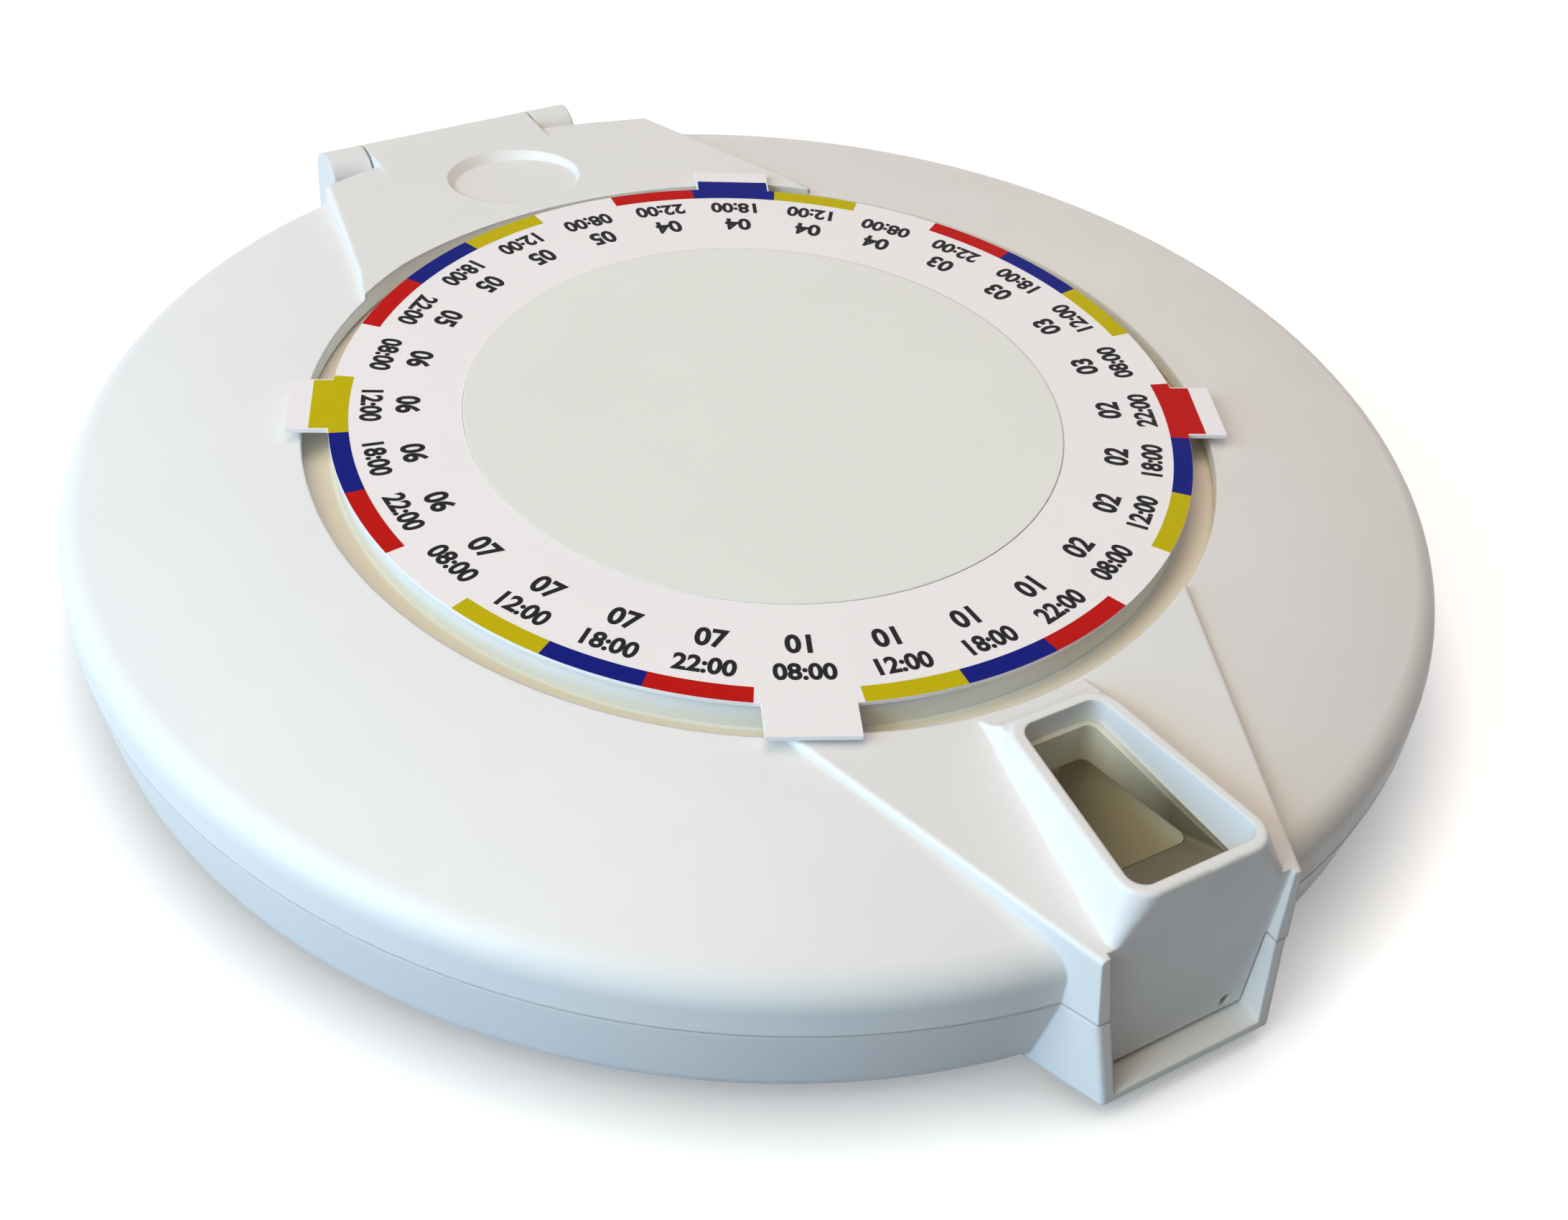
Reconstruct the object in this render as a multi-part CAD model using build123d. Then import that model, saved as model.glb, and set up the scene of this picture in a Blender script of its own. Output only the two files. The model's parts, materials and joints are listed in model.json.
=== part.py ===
from build123d import *
import os
from math import acos, asin, cos, degrees, pi, radians, sin, sqrt, tan

# Automatic pill dispenser. A shallow round case holds a ring of pill compartments that a small motor
# turns one step per dose, until the next compartment lies under the chute in the hinged lid.
# The case stands on its feet on z = 0 and is centred on the tray axis. The chute points along -Y
# and the hinge is at +Y. All lengths are in millimetres.

# ---- case ----
BODY_R = 95.0            # outer radius at the seam between base and lid
SEAM_Z = 15.0            # top edge of the base
SEAM_GAP = 0.25          # open line between base and lid
FOOT_H = 1.5             # underside of the case above the table
FLOOR_T = 2.2            # base floor
BASE_WALL = 2.2
BASE_TAPER = 2.6         # the base narrows by this much towards its lower rounding
BASE_ROUND = 4.0         # rounding between the base wall and the underside
BASE_INNER_ROUND = 2.0   # rounding between the base wall and its floor, inside
DUST_LIP_T = 1.0         # rim inside the seam
DUST_LIP_H = 1.8
DUST_LIP_ROOT = 3.0      # how far below the seam the rim springs from the wall
DUST_LIP_GAP = 0.6       # between that rim and the wall
DUST_LIP_ARC = 210.0     # the rim stops short of the hinge, where the lid swings inward

# ---- lid ----
LID_T = 2.0
LID_OPEN_R = 62.9        # round opening that shows the dial
LID_OPEN_Z = 29.3        # lid surface at the opening
LID_EDGE_IN = 3.2        # how far inside the case radius the dome turns into its rounded edge
LID_EDGE_DROP = 6.0      # how far that edge lies below the lid opening
LID_SIDE_DROP = 10.1     # how far below it the rounded edge meets the vertical side
LID_CROWN = 0.6          # how far the dome bulges above a straight cone
OPEN_LIP_R = 66.0        # flat underside around the opening, which the dial runs under
OPEN_LIP_T = 2.2

# ---- raised flats on the lid, one under the chute and one at the hinge ----
FLAT_SLOPE = 0.125       # drop of the flats per millimetre outward
FLAT_ROUND = 0.7         # rounding along the long edges of the flats
CHUTE_FLAT_IN = 27.9     # half width of the chute flat near the opening
CHUTE_FLAT_IN_Y = 62.0
CHUTE_FLAT_OUT = 14.6    # half width at the front end
CHUTE_FLAT_REACH = 1.9   # how far the front end stands out from the round case
NOSE_SEAM_REACH = 3.3    # the same at the seam
NOSE_FOOT_HALF = 12.5    # half width of the nose at its bottom
NOSE_FOOT_REACH = 6.0
NOSE_FOOT_Z = 2.0
NOSE_ROOT = 15.0         # how far the nose runs into the round case
HINGE_FLAT_IN = 36.5
HINGE_FLAT_IN_Y = 57.0
HINGE_FLAT_OUT = 28.0
HINGE_FLAT_OUT_IN = 2.4  # how far inside the case radius that half width is measured
HINGE_FLAT_EDGE_IN = 0.4  # the hinge flat ends on the round of the case, with a rounded edge
HINGE_FLAT_ROUND = 2.0
NOSE_ROUND = 0.8
DIMPLE_R = 10.6          # finger dimple on the hinge flat
DIMPLE_X = -1.5
DIMPLE_Y = 76.5
DIMPLE_DEPTH = 0.8
DIMPLE_DRAFT = 0.8       # how much smaller its floor is than its edge, in radius
DIMPLE_TILT = 3.0        # its floor falls towards the hinge, in degrees

# ---- chute ----
RIM_RISE = 2.1           # the rim stands this far above the lid opening
RIM_T = 1.5
RIM_ROUND = 0.6
CHUTE_IN_Y = 67.8        # inner end of the chute opening at the rim
CHUTE_OUT_IN = 0.7       # its outer end lies this far inside the case radius
CHUTE_IN_HALF = 5.8      # half widths of the opening at its two ends
CHUTE_OUT_HALF = 9.3
CHUTE_CORNER = 2.2
CHUTE_FOOT_CORNER = 1.2
CHUTE_KNEE_DROP = 4.3    # the bore runs straight down to this far below the lid opening, then narrows
CHUTE_FOOT_DROP = 4.5    # the chute walls meet the lid this far below the lid opening
CHUTE_FOOT_IN_Y = 65.4
CHUTE_FOOT_SPREAD = 3.2  # how much wider than the rim the chute walls are at their foot
CHUTE_FOOT_SPREAD_OUT = 2.2
APRON_IN_Y = 60.5        # the apron eases the rim into the edge of the lid opening
APRON_END_Y = 70.8       # and ends inside the chute walls
APRON_STEPS = [          # height against the lid opening, inner end, half widths at the two ends
    (-0.9, APRON_IN_Y, 8.2, 8.8),
    (0.7, 64.9, 7.8, 8.1),
    (1.5, 66.2, 7.2, 7.4),
]
FACE_FOOT_REACH = 2.3    # how far the front face stands out from the round case at its bottom edge
FACE_FOOT_Z = 4.4
FACE_T = 2.0
FACE_LAP = 0.2           # how far the front face reaches up into the chute walls
CHEEK_T = 1.6            # cheeks of the nose beside the front face
CHEEK_GAP = 0.35
LEDGE_T = 1.6
MOUTH_DRAFT = 0.4
LINER_T = 0.8            # funnel liner inside the chute
FUNNEL_T = 1.2           # wall of the lid under the liner, measured upright
FUNNEL_OVERRUN = 1.2     # the bore's cut runs this far past the foot of the liner
FUNNEL_LAP = 1.6         # and its walls reach this far above the foot of the chute
LINER_TOP_IN_DROP = 1.1  # upper edge of the liner below the lid opening, at its two ends
LINER_TOP_OUT_DROP = 4.2
LINER_GAP = 0.8          # clearance between the liner and the tray
LINER_OUT_IN = 0.6       # the funnel mouth ends this far inside the tray radius
RELEASE_HOLE_R = 0.8
RELEASE_HOLE_X = 8.0
RELEASE_HOLE_Z = 5.8

# ---- dial with its printed card ----
CARD_R = 59.3
CARD_IN_R = 41.5
CARD_T = 0.6
CARD_RISE = 1.9          # the card stands this far above the lid opening
TAB_REACH = 5.3          # four tabs reach from the card over the edge of the lid opening
TAB_GAP = 0.35           # clearance under and around the tabs as they pass the chute
TAB_SHARE = 0.43         # half width of a tab as a share of the step
TAB_COUNT = 4
DOSE_COUNT = 28
TAB_FIRST_STEP = -2      # steps from the chute to the nearest tab
PAD_R = 41.45
PAD_RISE = 0.1           # the disc stands this far above the card
DIAL_T = 1.8
DIAL_WALL = 2.0
DIAL_R = 58.9
DIAL_FLANGE_R = 65.3
DIAL_FLANGE_T = 1.8
DIAL_RUN_GAP = 0.3
DOG_REACH = 2.1          # how far the drive dogs stand out from the dial wall
DOG_HALF = 1.5
DOG_GAP = 0.3
DOG_DEPTH = 2.6
DOG_COUNT = 2
RETAINER_IN_R = 63.2
RETAINER_T = 1.3
RETAINER_EAR_R = 70.2    # screw circle of the retainer
RETAINER_EAR = 3.2
RETAINER_EARS = 6
RETAINER_SCREW_L = 3.0
RETAINER_BOSS_T = 1.3    # wall of the lid bosses round those screws
SCREW_R = 1.0
SCREW_HEAD_R = 2.1
SCREW_HEAD_T = 1.1
SCREW_HEAD_GAP = 0.2
SCREW_SINK = 0.1         # how far the heads lie below the surface
SCREW_SLOT_T = 0.35
SCREW_SLOT_HALF = 1.3
SCREW_SLOT_W = 0.6
SCREW_THREAD_GAP = 0.05
SCREW_HOLE_GAP = 0.1

# ---- tray ----
TRAY_TOP_Z = 21.4
TRAY_FLOOR_Z = 4.6
TRAY_FLOOR_T = 1.4
TRAY_IN_R = 60.0         # bore of the skirt that runs on the base rail
TRAY_WALL = 1.3
TRAY_SIDE_GAP = 5.6      # between the tray and the wall of the base
CELL_IN_R = 64.2
DIVIDER_T = 1.2
DIVIDER_ROUND = 0.4      # rounded top edge of a divider
RAIL_TOP_Z = 8.0
RAIL_T = 1.9
RUN_FIT = 0.05           # radial clearance of the running fits

# ---- gear train ----
RING_MODULE = 1.0
RING_TEETH = 112
PINION_TEETH = 14
IDLER_TEETH = 20
MOTOR_TEETH = 10
BACKLASH = 0.22
GEAR_Z = 14.0
GEAR_T = 3.5
RING_Z = 13.2
RING_TOOTH_T = 5.2       # height of the toothed part of the ring gear
RING_SEAT = 1.6          # how far the ring gear is let into the tray
RING_BORE_GAP = 0.8      # clearance above the teeth
SHAFT_R = 1.0
SHAFT_SLEEVE_T = 1.4     # wall of the bearings round the shafts
COLUMN_GAP = 0.5         # between a bearing column and its gear
DEDENDUM = 1.25          # depth of a tooth below the pitch circle, in modules
IDLER_TURN = -99.0       # direction from idler to motor, in degrees
MOTOR_R = 8.0
MOTOR_H = 9.3

# ---- control module in the middle ----
MODULE_R = 53.5
MODULE_WALL = 2.0
MODULE_TOP_Z = 25.0
FASCIA_T = 1.6
FASCIA_ROUND = 0.7
CORE_FLOOR_Z = 4.0       # thicker floor under the module, for the battery door
CORE_FLOOR_LAP = 1.5     # how far it reaches beyond the module
BOARD_Z = 19.8
BOARD_T = 1.6
BOARD_GAP = 0.3
LEDGE_RING_T = 3.0
SHELF_T = 1.4            # shelf under the board
DISPLAY_X = 40.0         # visible window of the display
DISPLAY_Y = 16.0
DISPLAY_POS_Y = 15.0
DISPLAY_BORDER = 2.0
DISPLAY_T = 1.7
DISPLAY_CORNER = 1.5
LENS_GAP = 0.1
BUTTON_R = 3.4
BUTTON_FLANGE = 0.9
BUTTON_FLANGE_T = 1.1
BUTTON_GAP = 0.25
BUTTON_PROUD = 1.1
BUTTON_ROUND = 0.6
BUTTON_PITCH = 14.0
BUTTON_POS_Y = -14.0
BUTTON_NAMES = ["hour", "minute", "alarm", "set"]
LIGHT_R = 2.4
LIGHT_POS = (30.0, 10.0)
BUZZER_R = 6.0
BUZZER_H = 7.0
BUZZER_X = -44.0
SOUND_X = -45.5          # middle of the sound holes under the buzzer
SOUND_RING_R = 3.0
SOUND_HOLE_R = 0.8
SOUND_HOLES = 6
TILT_R = 2.8
TILT_H = 7.0
TILT_Y = 40.0
MODULE_SCREWS = [(105.0, 44.0), (-105.0, 44.0), (25.0, 44.0)]
MODULE_BOSS_R = 3.4
MODULE_ARM_HALF = 1.2    # half width of the arms between the bosses and the wall
MODULE_SCREW_L = 8.0
FASCIA_SCREW_IN = 1.8    # between the module wall and the centres of the fascia screws
FASCIA_POST_R = 2.2
FASCIA_SCREW_L = 2.8
FASCIA_SCREW_ANGLES = [60.0, 150.0, -120.0, -30.0]

# ---- batteries ----
CELL_R = 7.25
CELL_L = 50.5
CELL_COUNT = 4
CELL_PITCH = 14.7
CELL_X = -33.9           # plus end of the cells
CELL_Z = 10.7
BOX_WALL = 1.2
BOX_END_GAP = 1.7
BOX_SIDE_GAP = 0.6
BOX_TOP_Z = 18.3
DOOR_T = 1.2
DOOR_GAP = 0.15
DOOR_LAP = 1.6
DOOR_TRAVEL = 7.0
DOOR_TONGUE_T = 0.6
DOOR_TONGUE = 1.4
GRIP_COUNT = 5           # grip grooves of the door
GRIP_PITCH = 2.4
GRIP_W = 1.0
GRIP_HALF = 8.0
GRIP_DEPTH = 0.5
CONTACT_T = 0.4
CONTACT_HALF = 4.8
CONTACT_END_GAP = 0.05
SPRING_R = 2.6
NUB_R = 2.7
NUB_H = 1.0
CELL_ROUND = 0.7

# ---- hinge, lock, feet ----
HINGE_X = -4.0           # the hinge bar sits a little off the middle
HINGE_DROP = 7.1         # hinge axis below the lid opening
KNUCKLE_R = 4.0
KNUCKLE_HALF = 21.8
LID_KNUCKLE_HALF = 14.8
KNUCKLE_GAP = 0.35
HINGE_PIN_R = 1.25
HINGE_PIN_IN = 2.0       # the pin bore stops this far inside the outer knuckles
HINGE_PIN_END_GAP = 0.1
HINGE_ROOT = 4.0         # how far the hinge block runs into the case
HINGE_NOTCH = 2.2        # how far the lid wall is cut back for the base knuckles
HINGE_ARM_RISE = 1.4     # underside of the arm of the lid above the hinge axis
HINGE_BLOCK_Z = 9.0
LOCK_IN = 3.7            # how far inside the case radius the lock sits
LOCK_R = 2.4
LOCK_BOSS_T = 0.7
LOCK_TOP_Z = 9.6
LOCK_CAM_R = 4.9
LOCK_CAM_T = 1.4
LOCK_CAM_HALF = 1.5
LOCK_SLOT_GAP = 0.4
LOCK_PIN_R = 1.2         # end of the barrel, which carries the cam
LOCK_FACE_RISE = 0.6     # face of the barrel above the underside of the case
KEYWAY_HALF = 1.7
KEYWAY_W = 1.0
KEYWAY_TOP_Z = 5.0
FOOT_R = 6.5
FOOT_RING_R = 72.0
FOOT_SEAT = 0.6
FOOT_COUNT = 4
FOOT_FIRST = 45.0        # direction of the first foot, in degrees
FOOT_ROUND = 0.5

# ---- modelling allowances ----
MERGE = 0.5              # how deep joined solids run into each other
OVERCUT = 10.0           # how far cutters stand out of what they cut

# ---- derived sizes ----
BASE_FOOT_R = BODY_R - BASE_TAPER
LID_EDGE_R = BODY_R - LID_EDGE_IN
LID_EDGE_Z = LID_OPEN_Z - LID_EDGE_DROP
LID_SIDE_Z = LID_OPEN_Z - LID_SIDE_DROP
OPEN_LIP_Z = LID_OPEN_Z - OPEN_LIP_T
CHUTE_FLAT_OUT_Y = BODY_R + CHUTE_FLAT_REACH
CHUTE_FLAT_FLARE = (CHUTE_FLAT_IN - CHUTE_FLAT_OUT) / (CHUTE_FLAT_OUT_Y - CHUTE_FLAT_IN_Y)
NOSE_SEAM_Y = BODY_R + NOSE_SEAM_REACH
NOSE_SEAM_HALF = CHUTE_FLAT_OUT - CHUTE_FLAT_FLARE * (NOSE_SEAM_Y - CHUTE_FLAT_OUT_Y)
NOSE_FOOT_Y = BODY_R + NOSE_FOOT_REACH
NOSE_ROOT_Y = BODY_R - NOSE_ROOT
HINGE_FLAT_OUT_Y = BODY_R - HINGE_FLAT_OUT_IN
HINGE_FLAT_EDGE_R = BODY_R - HINGE_FLAT_EDGE_IN
HINGE_Y = NOSE_FOOT_Y - KNUCKLE_R   # the bar reaches as far back as the nose reaches forward
HINGE_Z = LID_OPEN_Z - HINGE_DROP
RIM_Z = LID_OPEN_Z + RIM_RISE
CHUTE_OUT_Y = BODY_R - CHUTE_OUT_IN
CHUTE_FOOT_Z = LID_OPEN_Z - CHUTE_FOOT_DROP
CHUTE_KNEE_Z = LID_OPEN_Z - CHUTE_KNEE_DROP
CHUTE_FOOT_IN_HALF = CHUTE_IN_HALF + RIM_T + CHUTE_FOOT_SPREAD
CHUTE_FOOT_OUT_HALF = CHUTE_OUT_HALF + RIM_T + CHUTE_FOOT_SPREAD_OUT
FACE_FOOT_Y = BODY_R + FACE_FOOT_REACH
CARD_TOP_Z = LID_OPEN_Z + CARD_RISE
PAD_TOP_Z = CARD_TOP_Z + PAD_RISE
TAB_R = CARD_R + TAB_REACH
TAB_SWEEP_Z = CARD_TOP_Z - CARD_T - TAB_GAP
TAB_HALF = CARD_R * tan(radians(360.0 / DOSE_COUNT * TAB_SHARE))
LOCK_Y = BODY_R - LOCK_IN
LID_FOOT_Z = SEAM_Z + SEAM_GAP
FLOOR_Z = FOOT_H + FLOOR_T
BASE_IN_R = BODY_R - BASE_WALL
STEP = 360.0 / DOSE_COUNT
TRAY_R = BASE_IN_R - TRAY_SIDE_GAP
CELL_OUT_R = TRAY_R - TRAY_WALL
CELL_FLOOR_Z = TRAY_FLOOR_Z + TRAY_FLOOR_T
LINER_OUT_Y = TRAY_R - LINER_OUT_IN
LINER_FOOT_Z = TRAY_TOP_Z + LINER_GAP
LINER_TOP_IN_Z = LID_OPEN_Z - LINER_TOP_IN_DROP
LINER_TOP_OUT_Z = LID_OPEN_Z - LINER_TOP_OUT_DROP
RING_R = TRAY_IN_R + RING_SEAT
PINION_X = RING_MODULE * (RING_TEETH - PINION_TEETH) / 2
IDLER_X = PINION_X - RING_MODULE * (PINION_TEETH + IDLER_TEETH) / 2
MOTOR_REACH = RING_MODULE * (IDLER_TEETH + MOTOR_TEETH) / 2
MOTOR_X = IDLER_X + MOTOR_REACH * cos(radians(IDLER_TURN))
MOTOR_Y = MOTOR_REACH * sin(radians(IDLER_TURN))
DIAL_FLANGE_Z = OPEN_LIP_Z - DIAL_RUN_GAP - DIAL_FLANGE_T
RETAINER_Z = DIAL_FLANGE_Z - DIAL_RUN_GAP - RETAINER_T
BOX_X0 = CELL_X - BOX_END_GAP
BOX_X1 = CELL_X + CELL_L + BOX_END_GAP
MODULE_BOSS_TOP_Z = BOARD_Z - 1.0
FASCIA_SCREW_R = MODULE_R - MODULE_WALL - FASCIA_SCREW_IN
BOX_HALF_Y = CELL_PITCH * (CELL_COUNT - 1) / 2 + CELL_R + BOX_SIDE_GAP
BUTTON_XS = [BUTTON_PITCH * (i - 1.5) for i in range(len(BUTTON_NAMES))]


def flat_height(distance):
    """Height of the raised flats at a distance from the tray axis."""
    return LID_OPEN_Z - FLAT_SLOPE * (distance - LID_OPEN_R)


def upright(radius, z0, z1, x=0.0, y=0.0):
    """A cylinder standing between two heights."""
    return Pos(x, y, z0) * Cylinder(radius, z1 - z0, align=(Align.CENTER, Align.CENTER, Align.MIN))


def ring(outer, inner, z0, z1):
    return upright(outer, z0, z1) - upright(inner, z0 - 1, z1 + 1)


def block(x0, x1, y0, y1, z0, z1):
    """A box given by its two corners."""
    return Pos(x0, y0, z0) * Box(x1 - x0, y1 - y0, z1 - z0, align=(Align.MIN, Align.MIN, Align.MIN))


def hinge_rod(radius, half):
    """A cylinder on the hinge axis, centred on the hinge bar."""
    return Pos(HINGE_X, HINGE_Y, HINGE_Z) * Rot(0, 90, 0) * Cylinder(radius, 2 * half)


def hinge_block(half, y0, y1, z0, z1):
    """A box centred on the hinge bar."""
    return block(HINGE_X - half, HINGE_X + half, y0, y1, z0, z1)


def polar(angle, radius):
    return (radius * cos(radians(angle)), radius * sin(radians(angle)))


def trapezoid(y0, half0, y1, half1, z, corner=0.0):
    """A horizontal trapezoid, symmetric about the YZ plane, with optional rounded corners."""
    face = make_face(Polyline((-half0, y0), (half0, y0), (half1, y1), (-half1, y1), close=True))
    if corner:
        face = fillet(face.vertices(), corner)
    return Pos(0, 0, z) * face


def hull(lower, upper):
    """A solid between two trapezoids."""
    return loft([lower, upper], ruled=True)


# ---------------------------------------------------------------- gears
def involute_outline(teeth, module, tip, root, thickness):
    """Points round a spur gear; thickness is the tooth width on the pitch circle."""
    pitch_r = module * teeth / 2
    base_r = pitch_r * cos(radians(20))
    half_at_pitch = thickness / (2 * pitch_r)

    def roll(radius):
        if radius <= base_r:
            return 0.0
        turn = acos(base_r / radius)
        return tan(turn) - turn

    points = []
    flank = [root + (tip - root) * i / 4 for i in range(5)]
    for tooth in range(teeth):
        middle = 2 * pi * tooth / teeth
        halves = [half_at_pitch + roll(pitch_r) - roll(radius) for radius in flank]
        for radius, half in zip(flank, halves):
            points.append((radius * cos(middle - half), radius * sin(middle - half)))
        for radius, half in reversed(list(zip(flank, halves))):
            points.append((radius * cos(middle + half), radius * sin(middle + half)))
    return points


def gear_blank(teeth, z0, height, turn=0.0, grow=0.0):
    """A spur gear; with grow it is the cutter for the matching internal gear."""
    pitch_r = RING_MODULE * teeth / 2
    width = RING_MODULE * pi / 2 - BACKLASH / 2 + grow
    tip = pitch_r + RING_MODULE * (DEDENDUM if grow else 1.0)
    root = pitch_r - RING_MODULE * (1.0 if grow else DEDENDUM)
    outline = involute_outline(teeth, RING_MODULE, tip, root, width)
    face = make_face(Polyline(*outline, close=True))
    return Pos(0, 0, z0) * Rot(0, 0, turn) * extrude(face, height)


def geared_shaft(teeth, turn, x, y, shaft_z0, shaft_z1):
    gear = gear_blank(teeth, GEAR_Z, GEAR_T, turn)
    return Pos(x, y, 0) * (gear + upright(SHAFT_R, shaft_z0, shaft_z1))


# ---------------------------------------------------------------- base
def cheek_room_half(z):
    """Half width between the cheeks of the nose; it widens upward."""
    low_z = NOSE_FOOT_Z + LEDGE_T
    top_z = CHUTE_FOOT_Z
    low = NOSE_FOOT_HALF - CHEEK_T
    top = CHUTE_FOOT_OUT_HALF + CHEEK_GAP
    return low + (top - low) * (z - low_z) / (top_z - low_z)


def cheek_room(z0, z1, y_in):
    """The open front of the nose between its cheeks."""
    ahead = NOSE_FOOT_Y + 4
    low, top = cheek_room_half(z0), cheek_room_half(z1)
    return hull(trapezoid(-y_in, low, -ahead, low, z0), trapezoid(-y_in, top, -ahead, top, z1))


def nose_foot():
    """The nose of the base under the chute."""
    low_back = NOSE_FOOT_HALF + (NOSE_FOOT_Y - NOSE_ROOT_Y) * CHUTE_FLAT_FLARE
    top_back = NOSE_SEAM_HALF + (NOSE_SEAM_Y - NOSE_ROOT_Y) * CHUTE_FLAT_FLARE
    low = trapezoid(-NOSE_ROOT_Y, low_back, -NOSE_FOOT_Y, NOSE_FOOT_HALF, NOSE_FOOT_Z)
    top = trapezoid(-NOSE_ROOT_Y, top_back, -NOSE_SEAM_Y, NOSE_SEAM_HALF, SEAM_Z)
    nose = hull(low, top)
    uprights = [e for e in nose.edges() if e.center().Y < -NOSE_SEAM_Y and abs(e.center().X) > 1]
    foot = [e for e in nose.edges().group_by(Axis.Z)[0] if e.center().Y < -NOSE_ROOT_Y - 1]
    return fillet(uprights + foot, NOSE_ROUND)


def base_outline(inset):
    """Half section of the round base; inset gives the room inside it, open at the top."""
    foot_z = FLOOR_Z if inset else FOOT_H
    rounding = BASE_INNER_ROUND if inset else BASE_ROUND
    wall = [(0, foot_z), (BASE_FOOT_R - inset, foot_z), (BODY_R - inset, SEAM_Z)]
    wall += [(BODY_R - inset, SEAM_Z + OVERCUT), (0, SEAM_Z + OVERCUT)] if inset else [(0, SEAM_Z)]
    face = make_face(Polyline(*wall, close=True))
    corner = face.vertices().sort_by(lambda v: abs(v.X - BASE_FOOT_R + inset))[0]
    return Rot(90, 0, 0) * fillet(corner, rounding)


def door_recess():
    """Room under the floor for the battery door and its travel."""
    x0 = BOX_X0 - DOOR_LAP - DOOR_TRAVEL
    x1 = BOX_X1 + DOOR_LAP + DOOR_GAP
    half = BOX_HALF_Y + DOOR_LAP + DOOR_GAP
    roof_z = FOOT_H + DOOR_T + DOOR_GAP
    plate = block(x0, x1, -half, half, FOOT_H - 1, roof_z)
    groove_z = roof_z - DOOR_TONGUE_T - 2 * DOOR_GAP
    groove = block(x0, x1, -half - DOOR_TONGUE, half + DOOR_TONGUE, groove_z, roof_z)
    return plate + groove


def base_shell():
    body = revolve(base_outline(0.0), Axis.Z)
    body += nose_foot()
    body += hinge_block(KNUCKLE_HALF, BASE_IN_R - HINGE_ROOT, HINGE_Y + KNUCKLE_R, HINGE_BLOCK_Z, HINGE_Z)
    body += hinge_rod(KNUCKLE_R, KNUCKLE_HALF)
    body -= revolve(base_outline(BASE_WALL), Axis.Z)
    body += upright(MODULE_R + CORE_FLOOR_LAP, FLOOR_Z - MERGE, CORE_FLOOR_Z)
    # rail that the tray turns on
    rail_r = TRAY_IN_R - RUN_FIT
    body += ring(rail_r, rail_r - RAIL_T, FLOOR_Z - MERGE, RAIL_TOP_Z)
    # rim inside the seam, left out near the hinge
    lip_r = BASE_IN_R - DUST_LIP_GAP
    lip = make_face(Polyline(
        (lip_r - DUST_LIP_T, SEAM_Z - DUST_LIP_ROOT), (BASE_IN_R + MERGE, SEAM_Z - DUST_LIP_ROOT),
        (BASE_IN_R + MERGE, SEAM_Z - DUST_LIP_ROOT + 1), (lip_r, SEAM_Z), (lip_r, SEAM_Z + DUST_LIP_H),
        (lip_r - DUST_LIP_T, SEAM_Z + DUST_LIP_H), close=True))
    lip = Rot(0, 0, -90 - DUST_LIP_ARC / 2) * revolve(Rot(90, 0, 0) * lip, Axis.Z, DUST_LIP_ARC)
    body += lip
    # the nose is open at the front, between its cheeks, down to the ledge
    body -= cheek_room(NOSE_FOOT_Z + LEDGE_T, SEAM_Z + OVERCUT, NOSE_ROOT_Y)
    # hinge gap for the lid knuckle, and the pin bore
    gap = LID_KNUCKLE_HALF + KNUCKLE_GAP
    body -= hinge_rod(KNUCKLE_R + KNUCKLE_GAP, gap)
    clear_y = BASE_IN_R - HINGE_ROOT - 2
    clear_z = HINGE_Z + OVERCUT
    body -= hinge_block(gap, clear_y, HINGE_Y, HINGE_Z - KNUCKLE_R - KNUCKLE_GAP, clear_z)
    body -= hinge_block(KNUCKLE_HALF + 1, clear_y, BASE_IN_R - 0.1, FLOOR_Z + BASE_INNER_ROUND + 1, clear_z)
    body -= hinge_rod(HINGE_PIN_R, KNUCKLE_HALF - HINGE_PIN_IN)
    # lock barrel boss
    body += upright(LOCK_R + LOCK_BOSS_T, NOSE_FOOT_Z, LOCK_TOP_Z - LOCK_CAM_T - LOCK_SLOT_GAP, 0, -LOCK_Y)
    body -= upright(LOCK_R + RUN_FIT, 0, LOCK_TOP_Z, 0, -LOCK_Y)
    # gear columns
    for x in (PINION_X, IDLER_X):
        body += upright(SHAFT_R + SHAFT_SLEEVE_T, CORE_FLOOR_Z - MERGE, GEAR_Z - COLUMN_GAP, x)
        body -= upright(SHAFT_R + RUN_FIT, CORE_FLOOR_Z + 1, GEAR_Z, x)
    # battery opening and door recess
    body -= block(BOX_X0, BOX_X1, -BOX_HALF_Y, BOX_HALF_Y, 0, CORE_FLOOR_Z + 1)
    body -= door_recess()
    # sound holes under the buzzer
    body -= upright(SOUND_HOLE_R, 0, FLOOR_Z + 2, SOUND_X, 0)
    for i in range(SOUND_HOLES):
        x, y = polar(360 / SOUND_HOLES * i, SOUND_RING_R)
        body -= upright(SOUND_HOLE_R, 0, FLOOR_Z + 2, SOUND_X + x, y)
    # screw holes and foot seats
    for angle, radius in MODULE_SCREWS:
        x, y = polar(angle, radius)
        body -= upright(SCREW_R, 0, 12, x, y)
        body -= upright(SCREW_HEAD_R + SCREW_HEAD_GAP, 0, FOOT_H + SCREW_HEAD_T + SCREW_SINK, x, y)
    for i in range(FOOT_COUNT):
        x, y = polar(FOOT_FIRST + 360 / FOOT_COUNT * i, FOOT_RING_R)
        body -= upright(FOOT_R, 0, FOOT_H + FOOT_SEAT, x, y)
    return body


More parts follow.
